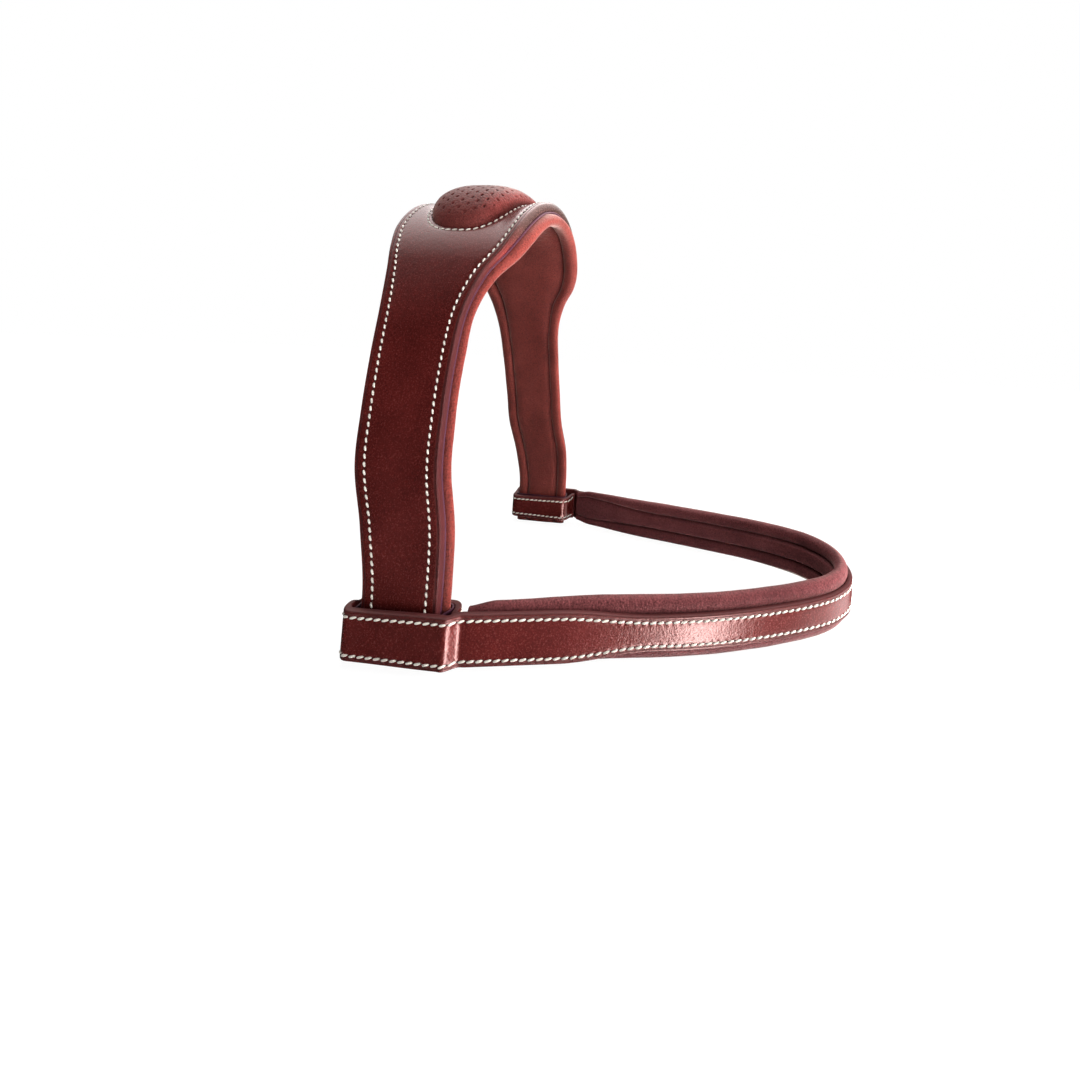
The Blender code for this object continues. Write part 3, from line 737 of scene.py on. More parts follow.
def lining_half(half_width, radius, spread, fullness, rise, bed):
    """The lining from its middle to its turned-in edge: (across, depth). A roll is wider than high."""
    wide, high = radius * spread - LINING_LEATHER / 2, radius - LINING_LEATHER / 2
    centre = half_width - radius * spread
    groove = centre - wide * GROOVE_PLACE
    panel = groove - GROOVE_WIDTH
    middle = radius - rise
    line = [(panel * share, height * radius * fullness) for share, height in PANEL_POINTS]
    line += [(panel, radius * PANEL_EDGE_HEIGHT), (groove - GROOVE_WIDTH * 0.3, radius * bed)]
    roll_end = -math.acos((middle - LINING_LEATHER / 2) / high)
    for i in range(ROLL_STEPS + 1):
        turn = mix(ROLL_START, roll_end, i / ROLL_STEPS)
        line.append((centre + wide * math.sin(turn), middle - high * math.cos(turn)))
    line.append((centre - wide * TURNED_IN, LINING_LEATHER / 2))
    return line, groove


def softened(line):
    """The line with each corner cut, its two ends kept."""
    cut = [line[0]]
    for before, after in zip(line, line[1:]):
        cut += [tuple(mix(a, b, 0.25) for a, b in zip(before, after)),
                tuple(mix(a, b, 0.75) for a, b in zip(before, after))]
    return cut + [line[-1]]


def lining_outline(half_width, radius, spread, fullness, rise, bed):
    """Points round the lining: (across, depth, darkness), with painted shade in the grooves."""
    half, groove = lining_half(half_width, radius, spread, fullness, rise, bed)
    line = softened(softened([(-across, depth) for across, depth in reversed(half)] + half))
    skin = []
    for way in (1.0, -1.0):
        side = []
        for i, (across, depth) in enumerate(line):
            before, after = line[max(i - 1, 0)], line[min(i + 1, len(line) - 1)]
            length = math.hypot(after[0] - before[0], after[1] - before[1])
            move = way * LINING_LEATHER / 2 / length
            in_groove = math.exp(-((abs(across) - groove + GROOVE_SHADE_SHIFT) / GROOVE_SHADE_WIDTH) ** 2)
            dark = GROOVE_SHADE * in_groove * (depth < radius * 1.3)
            side.append((across - (after[1] - before[1]) * move, depth + (after[0] - before[0]) * move, dark))
        skin += side if way > 0 else side[::-1]
    return skin


def core_outline(half_width, radius, spread, fullness, rise, bed):
    """The flat pad under the panel, clear of the skin."""
    flat, shoulder, edge = lining_half(half_width, radius, spread, fullness, rise, bed)[0][:3]
    clear = LINING_LEATHER
    half = [(edge[0] - clear, 0.0), (edge[0] - clear, edge[1] - clear),
            (shoulder[0], shoulder[1] - clear * 1.3), (flat[0], flat[1] - clear * 1.2)]
    return half + [(-across, depth) for across, depth in reversed(half)]


noise.seed_set(HAND_SEED)


def laid_by_hand(point, amount):
    """The point moved a little by slow noise: waves of a centimetre, and smaller ones on them."""
    wave, ripple = noise.noise_vector(point * WAVES), noise.noise_vector(point * RIPPLES)
    return point + wave * amount + ripple * amount * RIPPLE_SHARE


print("points round a lining:", len(lining_outline(0.0135, 0.0016, 1.9, 0.90, 0.0, 0.5)))

# %% [markdown]
# ## The crown's lining and core
# The rolls are thick over the poll and slim down the straps, so their sizes change along the arch. A
# seam across the lining near each strap's widening joins its middle piece to its end pieces.

# %% Shape the crown lining
PADDING_TOP = BACKER_TOP + BACKER_LEATHER + GAP
STRAP_ROLL_RADIUS, STRAP_ROLL_OVERHANG = 0.0016, 0.0017
POLL_ROLL_RADIUS, POLL_ROLL_OVERHANG = 0.0030, 0.0026
POLL_SPREAD, STRAP_SPREAD = 1.35, 1.9
CROWN_FULLNESS, CROWN_BED = 0.90, 0.5
LINING_STEP = 0.0010
CROSS_SEAM, CROSS_SEAM_WIDTH, CROSS_SEAM_DEPTH = 0.0765, 0.0007, 0.00025
HAND_LAID = 0.00014
count = 2 * round(CROWN_LENGTH / LINING_STEP)
lining_places = [mix(-CROWN_LENGTH, CROWN_LENGTH, i / count) for i in range(count + 1)]


def crown_padding(along):
    """Middle of the padding, and its half width, roll radius, spread, fullness, rise and groove bed."""
    low, high = crown_edges(along)
    share = beyond(along, *POLL_END)
    radius = mix(POLL_ROLL_RADIUS, STRAP_ROLL_RADIUS, share)
    overhang = mix(POLL_ROLL_OVERHANG, STRAP_ROLL_OVERHANG, share)
    spread = mix(POLL_SPREAD, STRAP_SPREAD, share)
    return (low + high) / 2, ((high - low) / 2 + overhang, radius, spread, CROWN_FULLNESS, 0.0, CROWN_BED)


def crown_lining_ring(along):
    """The lining's outline at one distance from the middle, pulled in along the cross seam."""
    middle, sizes = crown_padding(along)
    pinch = CROSS_SEAM_DEPTH * math.exp(-((abs(along) - CROSS_SEAM) / CROSS_SEAM_WIDTH) ** 2)
    ring = []
    for across, depth, _ in lining_outline(*sizes):
        pressed = pinch if depth > 2 * sizes[1] * 0.7 else 0.0
        point = crown_point(along, middle + across, PADDING_TOP + depth - pressed)
        ring.append(laid_by_hand(point, HAND_LAID))
    return ring


lining_tones = [tone for _, _, tone in lining_outline(*crown_padding(0.1)[1])]
crown_soft_lining = wrapped("crown_soft_lining", [crown_lining_ring(along) for along in lining_places],
                            lining_leather, "crown", lining_tones)
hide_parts("crown_lining")

# %% Shape the crown core
CORE_PLACES = slice(1, -1, 4)


def crown_core_ring(along):
    """The outline of the flat pad inside the lining."""
    middle, sizes = crown_padding(along)
    outline = core_outline(*sizes)
    return [crown_point(along, middle + across, PADDING_TOP + depth) for across, depth in outline]


crown_core = wrapped("crown_core", [crown_core_ring(along) for along in lining_places[CORE_PLACES]],
                     felt, "crown")
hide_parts("crown_core_pad")

# %% [markdown]
# ## The poll pad
# A dome of soft punched leather, stuffed with foam, fills the window. A squashed ball would have too
# round an outline, so a grid is drawn into the window's oval and raised, steep at its foot and flat
# on top, and it leans forward a little. Cut holes would need many more faces. They are pressed into
# the grid in offset rows instead, with painted shade in each dimple.

# %% Shape the poll pad
DOME_HEIGHT = 0.0091
DOME_LEAN = 0.17
DOME_FLATNESS, DOME_STEEPNESS = 1 / 0.72, 0.94
DOME_RIM, RIM_DEPTH = 0.97, 0.0016
PAD_HAND_LAID = 0.00010
HOLE_PITCH, ROW_PITCH = 0.0039, 0.0039 * 0.866
HOLE_RADIUS = 0.00050
HOLE_DEPTH = 0.0006
PUNCHED_TO = 0.90
PAD_LEATHER = 0.0009


def hole_depth(along, forward):
    """How deep the nearest punched hole is here, from 0 to 1."""
    row = round(forward / ROW_PITCH)
    shift = HOLE_PITCH / 2 if row % 2 else 0.0
    nearest = round((along - shift) / HOLE_PITCH) * HOLE_PITCH + shift
    gap = math.hypot(along - nearest, forward - row * ROW_PITCH)
    return ease((HOLE_RADIUS * 1.3 - gap) / (HOLE_RADIUS * 0.7))


def dome_place(u, v, clear):
    """Where a point of a square sheet comes to lie on the dome, and its height there."""
    share = min(max(abs(u), abs(v)) / DOME_RIM, 1.0)
    edge_along, edge_forward = window_point(math.atan2(v, u), -clear)
    height = (DOME_HEIGHT - clear) * math.sin(math.acos(share ** DOME_FLATNESS)) ** DOME_STEEPNESS
    return edge_along * share, mix(WINDOW_FORWARD, edge_forward, share), height


bm = bmesh.new()
tone = bm.verts.layers.float.new("wax_crease_and_painted_light")
for vert in bmesh.ops.create_grid(bm, x_segments=200, y_segments=110, size=1.0)["verts"]:
    edge = max(abs(vert.co.x), abs(vert.co.y))
    along, forward, height = dome_place(vert.co.x, vert.co.y, GAP)
    sunk = max(0.0, (edge - DOME_RIM) / (1 - DOME_RIM)) * RIM_DEPTH
    hole = hole_depth(along, forward - WINDOW_FORWARD) if edge < PUNCHED_TO else 0.0
    point = crown_point(along, forward + height * DOME_LEAN, sunk - height + hole * HOLE_DEPTH)
    vert.co = laid_by_hand(point, PAD_HAND_LAID * (1 - sunk / RIM_DEPTH))
    # Each hole's dimple gets painted shade.
    vert[tone] = -hole
bmesh.ops.solidify(bm, geom=bm.faces[:], thickness=PAD_LEATHER * 0.8)
poll_pad = finished("poll_pad", bm, pad_leather, "crown")
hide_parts("poll_pad_cover")

# %% [markdown]
# ## The poll pad's filling
# Foam fills the dome from below. It is the same grid, coarser and a little smaller, extruded so that
# one side follows the dome and the other stays flat on the backer.

# %% Fill the poll pad
FOAM_CLEARANCE = GAP + PAD_LEATHER + GAP
FOAM_BED = RIM_DEPTH * 0.6

bm = bmesh.new()
bmesh.ops.create_grid(bm, x_segments=50, y_segments=26, size=1.0)
places = {vert: dome_place(vert.co.x, vert.co.y, FOAM_CLEARANCE) for vert in bm.verts}
for vert in bmesh.ops.extrude_face_region(bm, geom=bm.faces[:])["geom"]:
    if isinstance(vert, bmesh.types.BMVert):
        along, forward, height = dome_place(vert.co.x, vert.co.y, FOAM_CLEARANCE)
        vert.co = crown_point(along, forward + height * DOME_LEAN, -height)
for vert, (along, forward, _) in places.items():
    vert.co = crown_point(along, forward, FOAM_BED)
poll_filling = finished("poll_filling", bm, felt, "crown")
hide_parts("poll_pad_foam")

# %% [markdown]
# ## The browband's plan
# Seen from above, the browband is a bow of four arcs, a straight leg, a step inwards, and a loop
# drawn tight round the strap's corners whose tail comes back to the strip. It could be bent from a
# straight strip, but each bend would move all that follows. So the plan is drawn as one line of the
# outer face, for one half, and mirrored.

# %% The browband's line
BAND_LEATHER = 0.0021
LOOP_CLEARANCE, LOOP_LINING_LEATHER = 0.0004, 0.0005
LOOP_FLARE = 0.0010
STEP_START, PINCH_LENGTH, STEP_IN = 0.0032, 0.0086, 0.0030
STEP_FROM, STEP_OVER = 0.2, 0.6
TONGUE_REACH, TONGUE_TURN = 0.0060, math.radians(74.0)
BOW_ARCS = (
    (0.0260, math.radians(43.0)), (0.0430, math.radians(20.0)),
    (0.1320, math.radians(7.0)), (0.3050, math.radians(8.5)),
)
STRAP_FACE = STRAP_SPACING / 2
STRAP_BACK, STRAP_FRONT = crown_edges(CROWN_LENGTH)
ROLL_CENTRE = STRAP_FACE - (PADDING_TOP + 2 * STRAP_ROLL_RADIUS) + STRAP_ROLL_RADIUS
ROLL_BACK = STRAP_BACK - STRAP_ROLL_OVERHANG + STRAP_ROLL_RADIUS
ROLL_FRONT = STRAP_FRONT + STRAP_ROLL_OVERHANG - STRAP_ROLL_RADIUS
STRIP_OUTSIDE = LOOP_CLEARANCE + LOOP_LINING_LEATHER + GAP + BAND_LEATHER
WALL = STRAP_FACE + STRIP_OUTSIDE
STEP_END = STRAP_FRONT + STEP_START
PINCH = STEP_END + PINCH_LENGTH
TONGUE_END = STEP_END + TONGUE_REACH
LEG_LEAN = math.pi / 2 - sum(sweep for _, sweep in BOW_ARCS)
LOOP_CORNERS = (
    (STRAP_FACE, STRAP_FRONT, 0.0), (STRAP_FACE, STRAP_BACK, LOOP_FLARE),
    (ROLL_CENTRE, ROLL_BACK, STRAP_ROLL_RADIUS), (ROLL_CENTRE, ROLL_FRONT, STRAP_ROLL_RADIUS),
)


def bow_line():
    """The outer face from the front of the bow to the pinch."""
    points, heading = [Vector((0.0, 0.0))], math.pi / 2
    for radius, sweep in BOW_ARCS:
        start = points[-1]
        for i in range(1, 13):
            turn = heading - sweep * i / 12
            moved = Vector((math.cos(turn) - math.cos(heading), math.sin(heading) - math.sin(turn)))
            points.append(start + radius * moved)
        heading -= sweep
    leg = BOW_DEPTH - PINCH - points[-1].y
    points.append(points[-1] + Vector((leg * math.tan(LEG_LEAN), leg)))
    stretch = (WALL - STEP_IN) / points[-1].x
    return [Vector((point.x * stretch, BOW_DEPTH - point.y)) for point in points]


def step_point(share):
    """The outer face between the pinch, share 0, and the loop's wall, share 1."""
    slope = -math.tan(LEG_LEAN) * PINCH_LENGTH
    inset = STEP_IN * (1 - ease((share - STEP_FROM) / STEP_OVER))
    return Vector((WALL - inset - slope * share * (1 - share) ** 2, mix(PINCH, STEP_END, share)))


def round_corners(grow, steps=10):
    """One arc round each corner of the strap, each corner grown by a distance."""
    headings = []
    for start, end in zip(LOOP_CORNERS, LOOP_CORNERS[1:] + LOOP_CORNERS[:1]):
        run = Vector((end[0] - start[0], end[1] - start[1]))
        headings.append(math.atan2(run.y, run.x) + math.asin((end[2] - start[2]) / run.length))
    arcs = []
    for i, (beside, forward, radius) in enumerate(LOOP_CORNERS):
        turn = (headings[i - 1] - headings[i]) % (2 * math.pi)
        outward = [headings[i - 1] - turn * k / steps + math.pi / 2 for k in range(steps + 1)]
        corner, reach = Vector((beside, forward)), radius + grow
        arcs.append([corner + reach * Vector((math.cos(way), math.sin(way))) for way in outward])
    return arcs


def tongue_line():
    """The tail: round the strap's front roll, then out to its seat on the strip."""
    reach = STRAP_ROLL_RADIUS + STRIP_OUTSIDE
    points = []
    for i in range(11):
        turn = TONGUE_TURN * i / 10
        points.append(Vector((ROLL_CENTRE - reach * math.cos(turn), ROLL_FRONT + reach * math.sin(turn))))
    start, share = points[-1], (PINCH - TONGUE_END) / PINCH_LENGTH
    seat = step_point(share)
    run = (seat - step_point(share + 1 / 6)).normalized()
    seat = seat + (2 * BAND_LEATHER + GAP) * Vector((-run.y, run.x))
    hold = (seat - start).length / 3
    leave = start + hold * Vector((math.sin(TONGUE_TURN), math.cos(TONGUE_TURN)))
    arrive = seat - hold * run
    for i in range(1, 11):
        u = i / 10
        outgoing = start * (1 - u) ** 3 + leave * 3 * u * (1 - u) ** 2
        points.append(outgoing + arrive * 3 * u * u * (1 - u) + seat * u ** 3)
    return points


def both_halves(half):
    """The half line and its mirror image as one line."""
    return [Vector((-point.x, point.y)) for point in reversed(half[1:])] + half


def inward(line):
    """For each point of the line, the direction from the outer face into the leather."""
    normals = []
    for i in range(len(line)):
        run = (line[min(i + 1, len(line) - 1)] - line[max(i - 1, 0)]).normalized()
        normals.append(Vector((run.y, -run.x)))
    return normals


STRIP_STEP = 0.0007
loop_arcs = round_corners(STRIP_OUTSIDE)
step_in = [step_point(i / 24) for i in range(1, 25)]
half_strip = bow_line() + step_in + loop_arcs[1] + loop_arcs[2] + tongue_line()
strip_line = evenly(both_halves(half_strip), STRIP_STEP)
strip_normals = inward(strip_line)
print("strip length, metres:", round(run_length(strip_line)[-1], 3))

# %% [markdown]
# ## The browband strip
# The strip is widest at its loops and narrows over the bow, where the padded rolls stand past it. It
# gets the same rounded edges as the crown's strap, painted with shade all along, and two seams that
# follow them all the way. Inside the loop its tail is cut narrower and lies lower, so that it stays out
# of sight.

# %% Shape the browband strip
LOOP_HEIGHT, BAND_HEIGHT, TAIL_HEIGHT = 0.0174, 0.0123, 0.0166
LOOP_DROP = 0.0005
TUCK_DROP, TUCK_CUT, TUCK_LENGTH = 0.0006, 0.0017, 0.005
PADDED_HEIGHT, PADDED_END_HEIGHT = 0.0220, 0.0205
BOW_LIFT, LIFT_START, LIFT_LENGTH = 0.0013, 0.090, 0.070
BAND_MIDDLE = PADDED_HEIGHT / 2
NARROWING_START, NARROWING_LENGTH = 0.0290, 0.032
BAND_SEAM_INSET = 0.0021
BAND_PROFILE = (BAND_LEATHER, 0.0007, 0.00035, 9, 14)
# The strip's edges get painted shade all along its length.
STRIP_EDGE_SHADE = -0.7


def narrowing(forward):
    """0 beside the loops and 1 over the bow."""
    return ease((forward - PINCH - NARROWING_START) / NARROWING_LENGTH)


def strip_heights(point):
    """The strip's lower and upper edge, from the band's middle height."""
    tucked = 0.0
    if point.y > PINCH:
        half = mix(LOOP_HEIGHT, BAND_HEIGHT, narrowing(point.y)) / 2
    else:
        half = mix(LOOP_HEIGHT, TAIL_HEIGHT, ease((STEP_END - point.y) / (STEP_END - STRAP_BACK))) / 2
        tucked = ease((STRAP_FACE - abs(point.x)) / TUCK_LENGTH)
    drop = LOOP_DROP * (1 - narrowing(point.y)) + TUCK_DROP * tucked
    half -= TUCK_CUT * tucked
    return -half - drop, half - drop


def band_point(point, normal, height, depth):
    """A point of the browband: on its plan, at a height from its middle and a depth under its face."""
    moved = point + normal * depth
    lift = BOW_LIFT * ease((point.y - LIFT_START) / LIFT_LENGTH)
    return Vector((moved.x, PART_MIDDLE - moved.y, BAND_MIDDLE + height + lift))


def band_seam(side, pitch=0.0028, fill=0.86):
    """The seam along the strip's lower edge, side 0, or its upper edge, side 1."""
    places = []
    for point, normal in zip(strip_line, strip_normals):
        height = strip_heights(point)[side] + (BAND_SEAM_INSET, -BAND_SEAM_INSET)[side]
        places.append(offset_point(lambda depth: band_point(point, normal, height, depth)))
    points, normals = zip(*places)
    return Seam(points, normals, pitch, fill)


lower_seam, upper_seam = band_seam(0), band_seam(1)


def strip_ring(i):
    """The strip's outline at one point of its plan, sunk along its seams."""
    point, normal = strip_line[i], strip_normals[i]
    low, high = strip_heights(point)
    ring = []
    for across, depth, _ in strap_outline(low, high, *BAND_PROFILE):
        if depth == 0.0:
            depth += seam_dip(across - low - BAND_SEAM_INSET, lower_seam.phase(i))
            depth += seam_dip(high - BAND_SEAM_INSET - across, upper_seam.phase(i))
        ring.append(band_point(point, normal, across, depth))
    return ring


strip_tones = [tone for _, _, tone in strap_outline(-0.008, 0.008, *BAND_PROFILE)]
browband_strip = wrapped("browband_strip", [strip_ring(i) for i in range(len(strip_line))],
                         bridle_leather, "browband", strip_tones, [STRIP_EDGE_SHADE] * len(strip_line))
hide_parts("browband_leather")

# %% [markdown]
# ## The loop linings
# A thin band of leather lines each loop, so that it slides on the strap without marking it. It is the
# round of the strap's corners again, grown by the play in the loop.

# %% Line the loops
LOOP_LINING_HALF = 0.0065


def loop_ring(inner, outer):
    """The lining's four corners where it crosses a line from the strap outwards."""
    ring = []
    for point, side in ((inner, -1), (outer, -1), (outer, 1), (inner, 1)):
        height = BAND_MIDDLE - LOOP_DROP + side * LOOP_LINING_HALF
        ring.append(Vector((point.x, PART_MIDDLE - point.y, height)))
    return ring


for name, side in (("left", 1.0), ("right", -1.0)):
    lines = []
    for grow in (LOOP_CLEARANCE, LOOP_CLEARANCE + LOOP_LINING_LEATHER):
        line = [Vector((side * point.x, point.y)) for point in sum(round_corners(grow), [])]
        lines.append(line + line[:1])
    loop_lining = wrapped(f"loop_lining_{name}_skin", [loop_ring(*pair) for pair in zip(*lines)],
                          backer_leather, "browband")
    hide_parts(f"loop_lining_{name}")

# %% [markdown]
# ## The browband's lining
# It is made like the crown's lining, from the same outline laid along the browband's plan. Its rolls
# are slim beside the loops and swell towards the bow, where they rise past the narrower strip.

# %% Shape the browband lining
BAND_ROLL_RADIUS, BAND_END_ROLL_RADIUS = 0.0029, 0.0014
BAND_ROLL_RISE = 0.0006
BAND_SPREAD, BAND_FULLNESS, BAND_BED = 1.15, 0.86, 0.9
SWELLING_LENGTH = 0.055
END_TAPER, END_TAPER_LENGTH = 0.0016, 0.010
PADDING_START_GAP = 0.0012
PADDING_SQUARE_END = 0.002
BAND_HAND_LAID = 0.00010

padding_end = TONGUE_END + PADDING_START_GAP
half_padding = bow_line() + [step_point(i / 8 * (PINCH - padding_end) / PINCH_LENGTH) for i in range(1, 9)]
leg_normal = Vector((-math.cos(LEG_LEAN), -math.sin(LEG_LEAN)))
padding_line = evenly(both_halves(half_padding), LINING_STEP)
padding_normals = inward(padding_line)
for i, point in enumerate(padding_line):
    if point.y < PINCH + PADDING_SQUARE_END:
        padding_normals[i] = Vector((math.copysign(leg_normal.x, -point.x), leg_normal.y))


def band_padding(point):
    """Half height of the padding, roll radius, spread, fullness, the rolls' rise and the groove bed."""
    swelling = ease((point.y - TONGUE_END) / SWELLING_LENGTH)
    half = mix(PADDED_END_HEIGHT, PADDED_HEIGHT, swelling) / 2
    half -= END_TAPER * (1 - ease((point.y - TONGUE_END) / END_TAPER_LENGTH))
    radius = mix(BAND_END_ROLL_RADIUS, BAND_ROLL_RADIUS, swelling)
    return half, radius, BAND_SPREAD, BAND_FULLNESS, BAND_ROLL_RISE * narrowing(point.y), BAND_BED


def padding_ring(point, normal, outline):
    """An outline of the padding, behind the strip at one point of its plan."""
    places, behind = outline(*band_padding(point)), BAND_LEATHER + GAP
    return [band_point(point, normal, place[0], behind + place[1]) for place in places]


padding_places = list(zip(padding_line, padding_normals))
skins = [padding_ring(point, normal, lining_outline) for point, normal in padding_places]
skins = [[laid_by_hand(place, BAND_HAND_LAID) for place in skin] for skin in skins]
band_tones = [tone for _, _, tone in lining_outline(*band_padding(padding_line[len(padding_line) // 2]))]
browband_soft_lining = wrapped("browband_soft_lining", skins, band_lining_leather, "browband", band_tones)
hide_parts("browband_lining")

# %% Shape the browband core
cores = [padding_ring(point, normal, core_outline) for point, normal in padding_places[CORE_PLACES]]
band_core = wrapped("band_core", cores, felt, "browband")
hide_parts("browband_core")

# %% [markdown]
# ## The stitches
# Each stitch is a small ball drawn out along the seam, half sunk in the leather, and turned a little
# from the line as hand sewing leaves it. A squat near-black ball between two stitches is painted shade
# that stands for the hole both go into. Instances would be lost in the export, so all copies of a ball
# go into one mesh, and each ball has only a few dozen faces.

# %% Make the pattern of a stitch and of a hole
def pattern_mesh(name, rings, squareness):
    """A ball with its map, drawn out along Z, that every stitch or hole is a copy of."""
    bm = bmesh.new()
    bm.loops.layers.uv.new("around_thread")
    ball = bmesh.ops.create_uvsphere(bm, u_segments=8, v_segments=rings, radius=1.0, calc_uvs=True)
    for vert in ball["verts"]:
        vert.co.z = math.copysign(abs(vert.co.z) ** squareness, vert.co.z)
    return as_mesh(name, bm)


stitch_mesh = pattern_mesh("stitch", 6, 0.75)
hole_mesh = pattern_mesh("needle_hole", 4, 1.0)
print("faces of a stitch and a hole:", len(stitch_mesh.polygons), len(hole_mesh.polygons))

# %% Sew the seams
SLANT = math.radians(13.0)
STITCH_HEIGHT = 0.42
STITCH_SUNK = 0.00008
HOLE_SIZE = (0.00036, 0.00030, 0.00018)
HOLE_SUNK = 2 * CHANNEL_DEPTH * 0.8


def copied(mesh, places):
    """All copies of a mesh in one, each at its place."""
    bm = bmesh.new()
    for place in places:
        mesh.transform(place)
        bm.from_mesh(mesh)
        mesh.transform(place.inverted())
    return bm


def set_down(place, axes, size):
    """The move that puts a ball of that size at a place, with its X, Y and Z along three axes."""
    return Matrix.Translation(place) @ Matrix(axes).transposed().to_4x4() @ Matrix.Diagonal((*size, 1.0))


def sew(name, seams, body, width):
    """The stitches of some seams, and the painted shade of their needle holes, as two pieces."""
    stitches, holes = [], []
    for seam in seams:
        size = (width / 2, width * STITCH_HEIGHT, seam.pitch * seam.fill / 2)
        for k in range(seam.count):
            place, run, normal = seam.at((k + 0.5) * seam.pitch)
            turned = run * math.cos(SLANT) + normal.cross(run).normalized() * math.sin(SLANT)
            axes = turned.cross(normal), normal, turned
            stitches.append(set_down(place - normal * STITCH_SUNK, axes, size))
        for k in range(seam.count + 1):
            place, run, normal = seam.at(k * seam.pitch)
            axes = run, normal.cross(run).normalized(), normal
            holes.append(set_down(place - normal * HOLE_SUNK, axes, HOLE_SIZE))
    finished(f"{name}_stitches", copied(stitch_mesh, stitches), thread, body)
    finished(f"{name}_needle_hole_shade", copied(hole_mesh, holes), hole_shade, body)


sew("crown", (back_seam, front_seam, window_seam), "crown", width=0.00082)
sew("browband", (lower_seam, upper_seam), "browband", width=0.00086)

# %% [markdown]
# ## What lies inside
# The rolls of filler lie hidden in the linings. The solid model has them already, and nothing finer
# would be seen, so its own pieces stay and only get a felt.

# %% Finish the hidden fillings
for name in ("crown_front_cord", "crown_back_cord", "browband_upper_cord", "browband_lower_cord"):
    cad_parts[name].material_slots[0].material = felt
    print(name, "keeps its solid")

# %% [markdown]
# ## The floor
# The object stands on a pale table that takes its shadow. A table lit until it is white would light
# the object too much from below. So only the camera sees it glow, near the object a little less than
# further off, so that the shadow shows there and no horizon does. Glossy rays pass through it to the
# mirror lights of the next step.

# %% Lay the floor
FLOOR_SIZE, FLOOR_DROP = 6.0, 0.0002
FLOOR_GLOW = 1.1
GLOW_DISTANCES, GLOW_SHARES = (0.15, 0.60), (0.86, 1.0)

bm = bmesh.new()
bmesh.ops.create_grid(bm, x_segments=1, y_segments=1, size=FLOOR_SIZE)
floor = in_scene("floor", as_mesh("floor", bm))
floor.location.z = -FLOOR_DROP
floor.visible_glossy = False

paper = bpy.data.materials.new("floor_paper")
paper.use_nodes = True
tree = paper.node_tree
surface = tree.nodes["Principled BSDF"]
surface.inputs["Base Color"].default_value = (0.80, 0.80, 0.80, 1.0)
surface.inputs["Roughness"].default_value = 0.9
glow = add_node(tree, "ShaderNodeEmission", {"Color": (1.0, 1.0, 1.0, 1.0), "Strength": FLOOR_GLOW})
place = add_node(tree, "ShaderNodeTexCoord").outputs["Object"]
away = add_node(tree, "ShaderNodeVectorMath", {0: place}, operation="LENGTH").outputs["Value"]
seen = add_node(tree, "ShaderNodeLightPath").outputs["Is Camera Ray"]
share = maths(tree, "MULTIPLY", seen, ranged(tree, away, GLOW_DISTANCES, GLOW_SHARES))
lifted = add_node(tree, "ShaderNodeMixShader", {"Fac": share})
tree.links.new(surface.outputs[0], lifted.inputs[1])
tree.links.new(glow.outputs[0], lifted.inputs[2])
tree.links.new(lifted.outputs[0], tree.nodes["Material Output"].inputs["Surface"])
floor.data.materials.append(paper)
print("floor below the object, metres:", FLOOR_DROP)

# %% [markdown]
# ## What the leather mirrors
# Polished leather shows soft stripes of light where it turns past a window or a bright wall. A lamp
# that the browband mirrors towards a high camera would have to stand under the table. So the world
# holds lights that only glossy rays see: an upright bar and a wide glow in front, both low, and a
# bright ceiling, which gives the grey gloss over the poll. The camera sees plain white.

# %% Hang the mirror lights
BAR_WAY = (math.cos(math.radians(-151.0)), math.sin(math.radians(-151.0)), 0.0)
BAR_FACING, BAR_LIGHT = (0.991, 0.9995), (0.0, 40.0)
FRONT_WAY = (0.0, -1.0, 0.0)
FRONT_FACING, FRONT_LIGHT = (0.76, 1.0), (0.0, 3.4)
LOW_HEIGHTS = (-0.32, -0.16)
CEILING_HEIGHTS, CEILING_LIGHT = (0.34, 0.90), (0.02, 3.8)
CEILING_EDGE = (-0.65, -0.20)
SHADOW_LIGHT = 0.05

world = bpy.data.worlds.new("studio")
bpy.context.scene.world = world
world.use_nodes = True
tree = world.node_tree
way = add_node(tree, "ShaderNodeTexCoord").outputs["Generated"]
parts = add_node(tree, "ShaderNodeSeparateXYZ", {0: way}).outputs
flat_way = {0: way, 1: (1.0, 1.0, 0.0)}
flat_way = add_node(tree, "ShaderNodeVectorMath", flat_way, operation="MULTIPLY").outputs[0]
flat_way = add_node(tree, "ShaderNodeVectorMath", {0: flat_way}, operation="NORMALIZE").outputs[0]


def facing(toward):
    """How squarely a direction, laid level, points towards another, up to 1."""
    inputs = {0: flat_way, 1: toward}
    return add_node(tree, "ShaderNodeVectorMath", inputs, operation="DOT_PRODUCT").outputs["Value"]


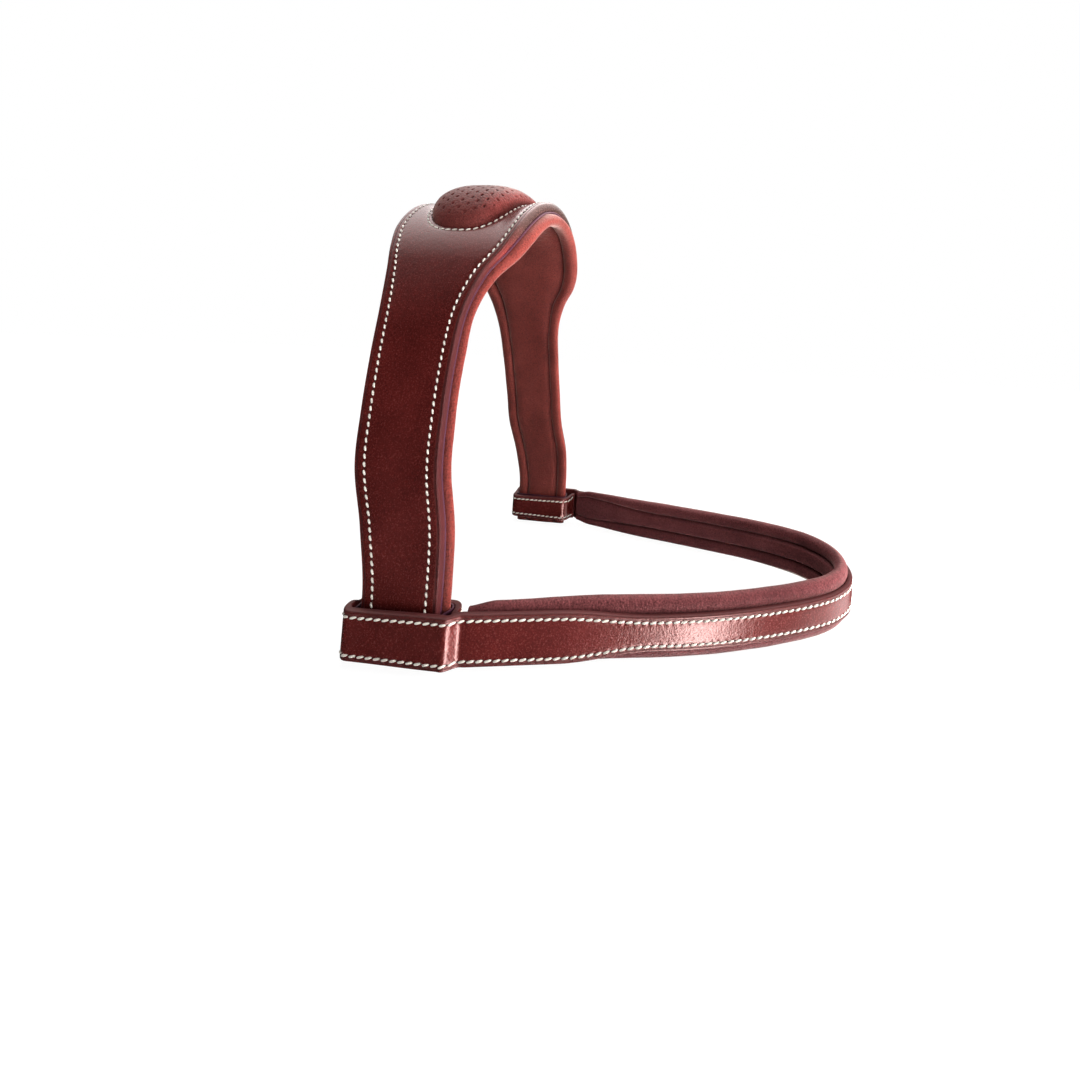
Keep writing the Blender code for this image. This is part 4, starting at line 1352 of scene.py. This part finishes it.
bar = ranged(tree, facing(BAR_WAY), BAR_FACING, BAR_LIGHT, interpolation_type="SMOOTHSTEP")
front = ranged(tree, facing(FRONT_WAY), FRONT_FACING, FRONT_LIGHT)
low = ranged(tree, parts["Z"], LOW_HEIGHTS, (1.0, 0.0))
ceiling = ranged(tree, parts["Z"], CEILING_HEIGHTS, CEILING_LIGHT)
ceiling = maths(tree, "MULTIPLY", ceiling, ranged(tree, parts["X"], CEILING_EDGE))
mirrored = maths(tree, "MULTIPLY_ADD", maths(tree, "ADD", bar, front), low, ceiling)
rays = add_node(tree, "ShaderNodeLightPath").outputs
lit = {"Factor": rays["Is Glossy Ray"], "A": SHADOW_LIGHT, "B": mirrored}
lit = add_node(tree, "ShaderNodeMix", lit).outputs[0]
strength = {"Factor": rays["Is Camera Ray"], "A": lit, "B": 1.0}
strength = add_node(tree, "ShaderNodeMix", strength).outputs[0]
sky = tree.nodes["Background"].inputs
sky["Color"].default_value = (1.0, 1.0, 1.0, 1.0)
tree.links.new(strength, sky["Strength"])
print("world nodes:", len(tree.nodes))

# %% [markdown]
# ## Lamps
# Three soft lamps light the leather itself, at a level where a colour shows about as it is written.
# The strongest stands low in front, and lights the padded rolls from the side. Its mirror image would
# draw a hard line on every rounded edge, so glossy rays don't see it.

# %% Place the lamps
def soft_lamp(name, place, aim, size, power):
    """An upright rectangle of light, in metres and watts, that looks at a point."""
    data = bpy.data.lights.new(name, "AREA")
    data.shape = "RECTANGLE"
    data.size, data.size_y = size
    data.energy = power
    lamp = in_scene(name, data)
    lamp.location = place
    lamp.rotation_euler = (Vector(aim) - Vector(place)).to_track_quat("-Z", "Y").to_euler()
    print(name, power, "watts")
    return lamp


soft_lamp("tall_lamp", (-0.65, -0.47, 0.30), (0.0, 0.0, 0.05), (0.14, 0.60), 3.0)
front_lamp = soft_lamp("front_lamp", (0.12, -0.90, 0.18), (0.0, 0.0, 0.07), (0.5, 0.35), 45.0)
front_lamp.visible_glossy = False
soft_lamp("top_lamp", (0.20, 0.10, 1.0), (0.0, 0.0, 0.10), (0.9, 0.9), 9.0)

# %% [markdown]
# ## The last lines
# The view is left plain, so that white is white.

# %% Finish
bpy.context.scene.view_settings.view_transform = "Standard"
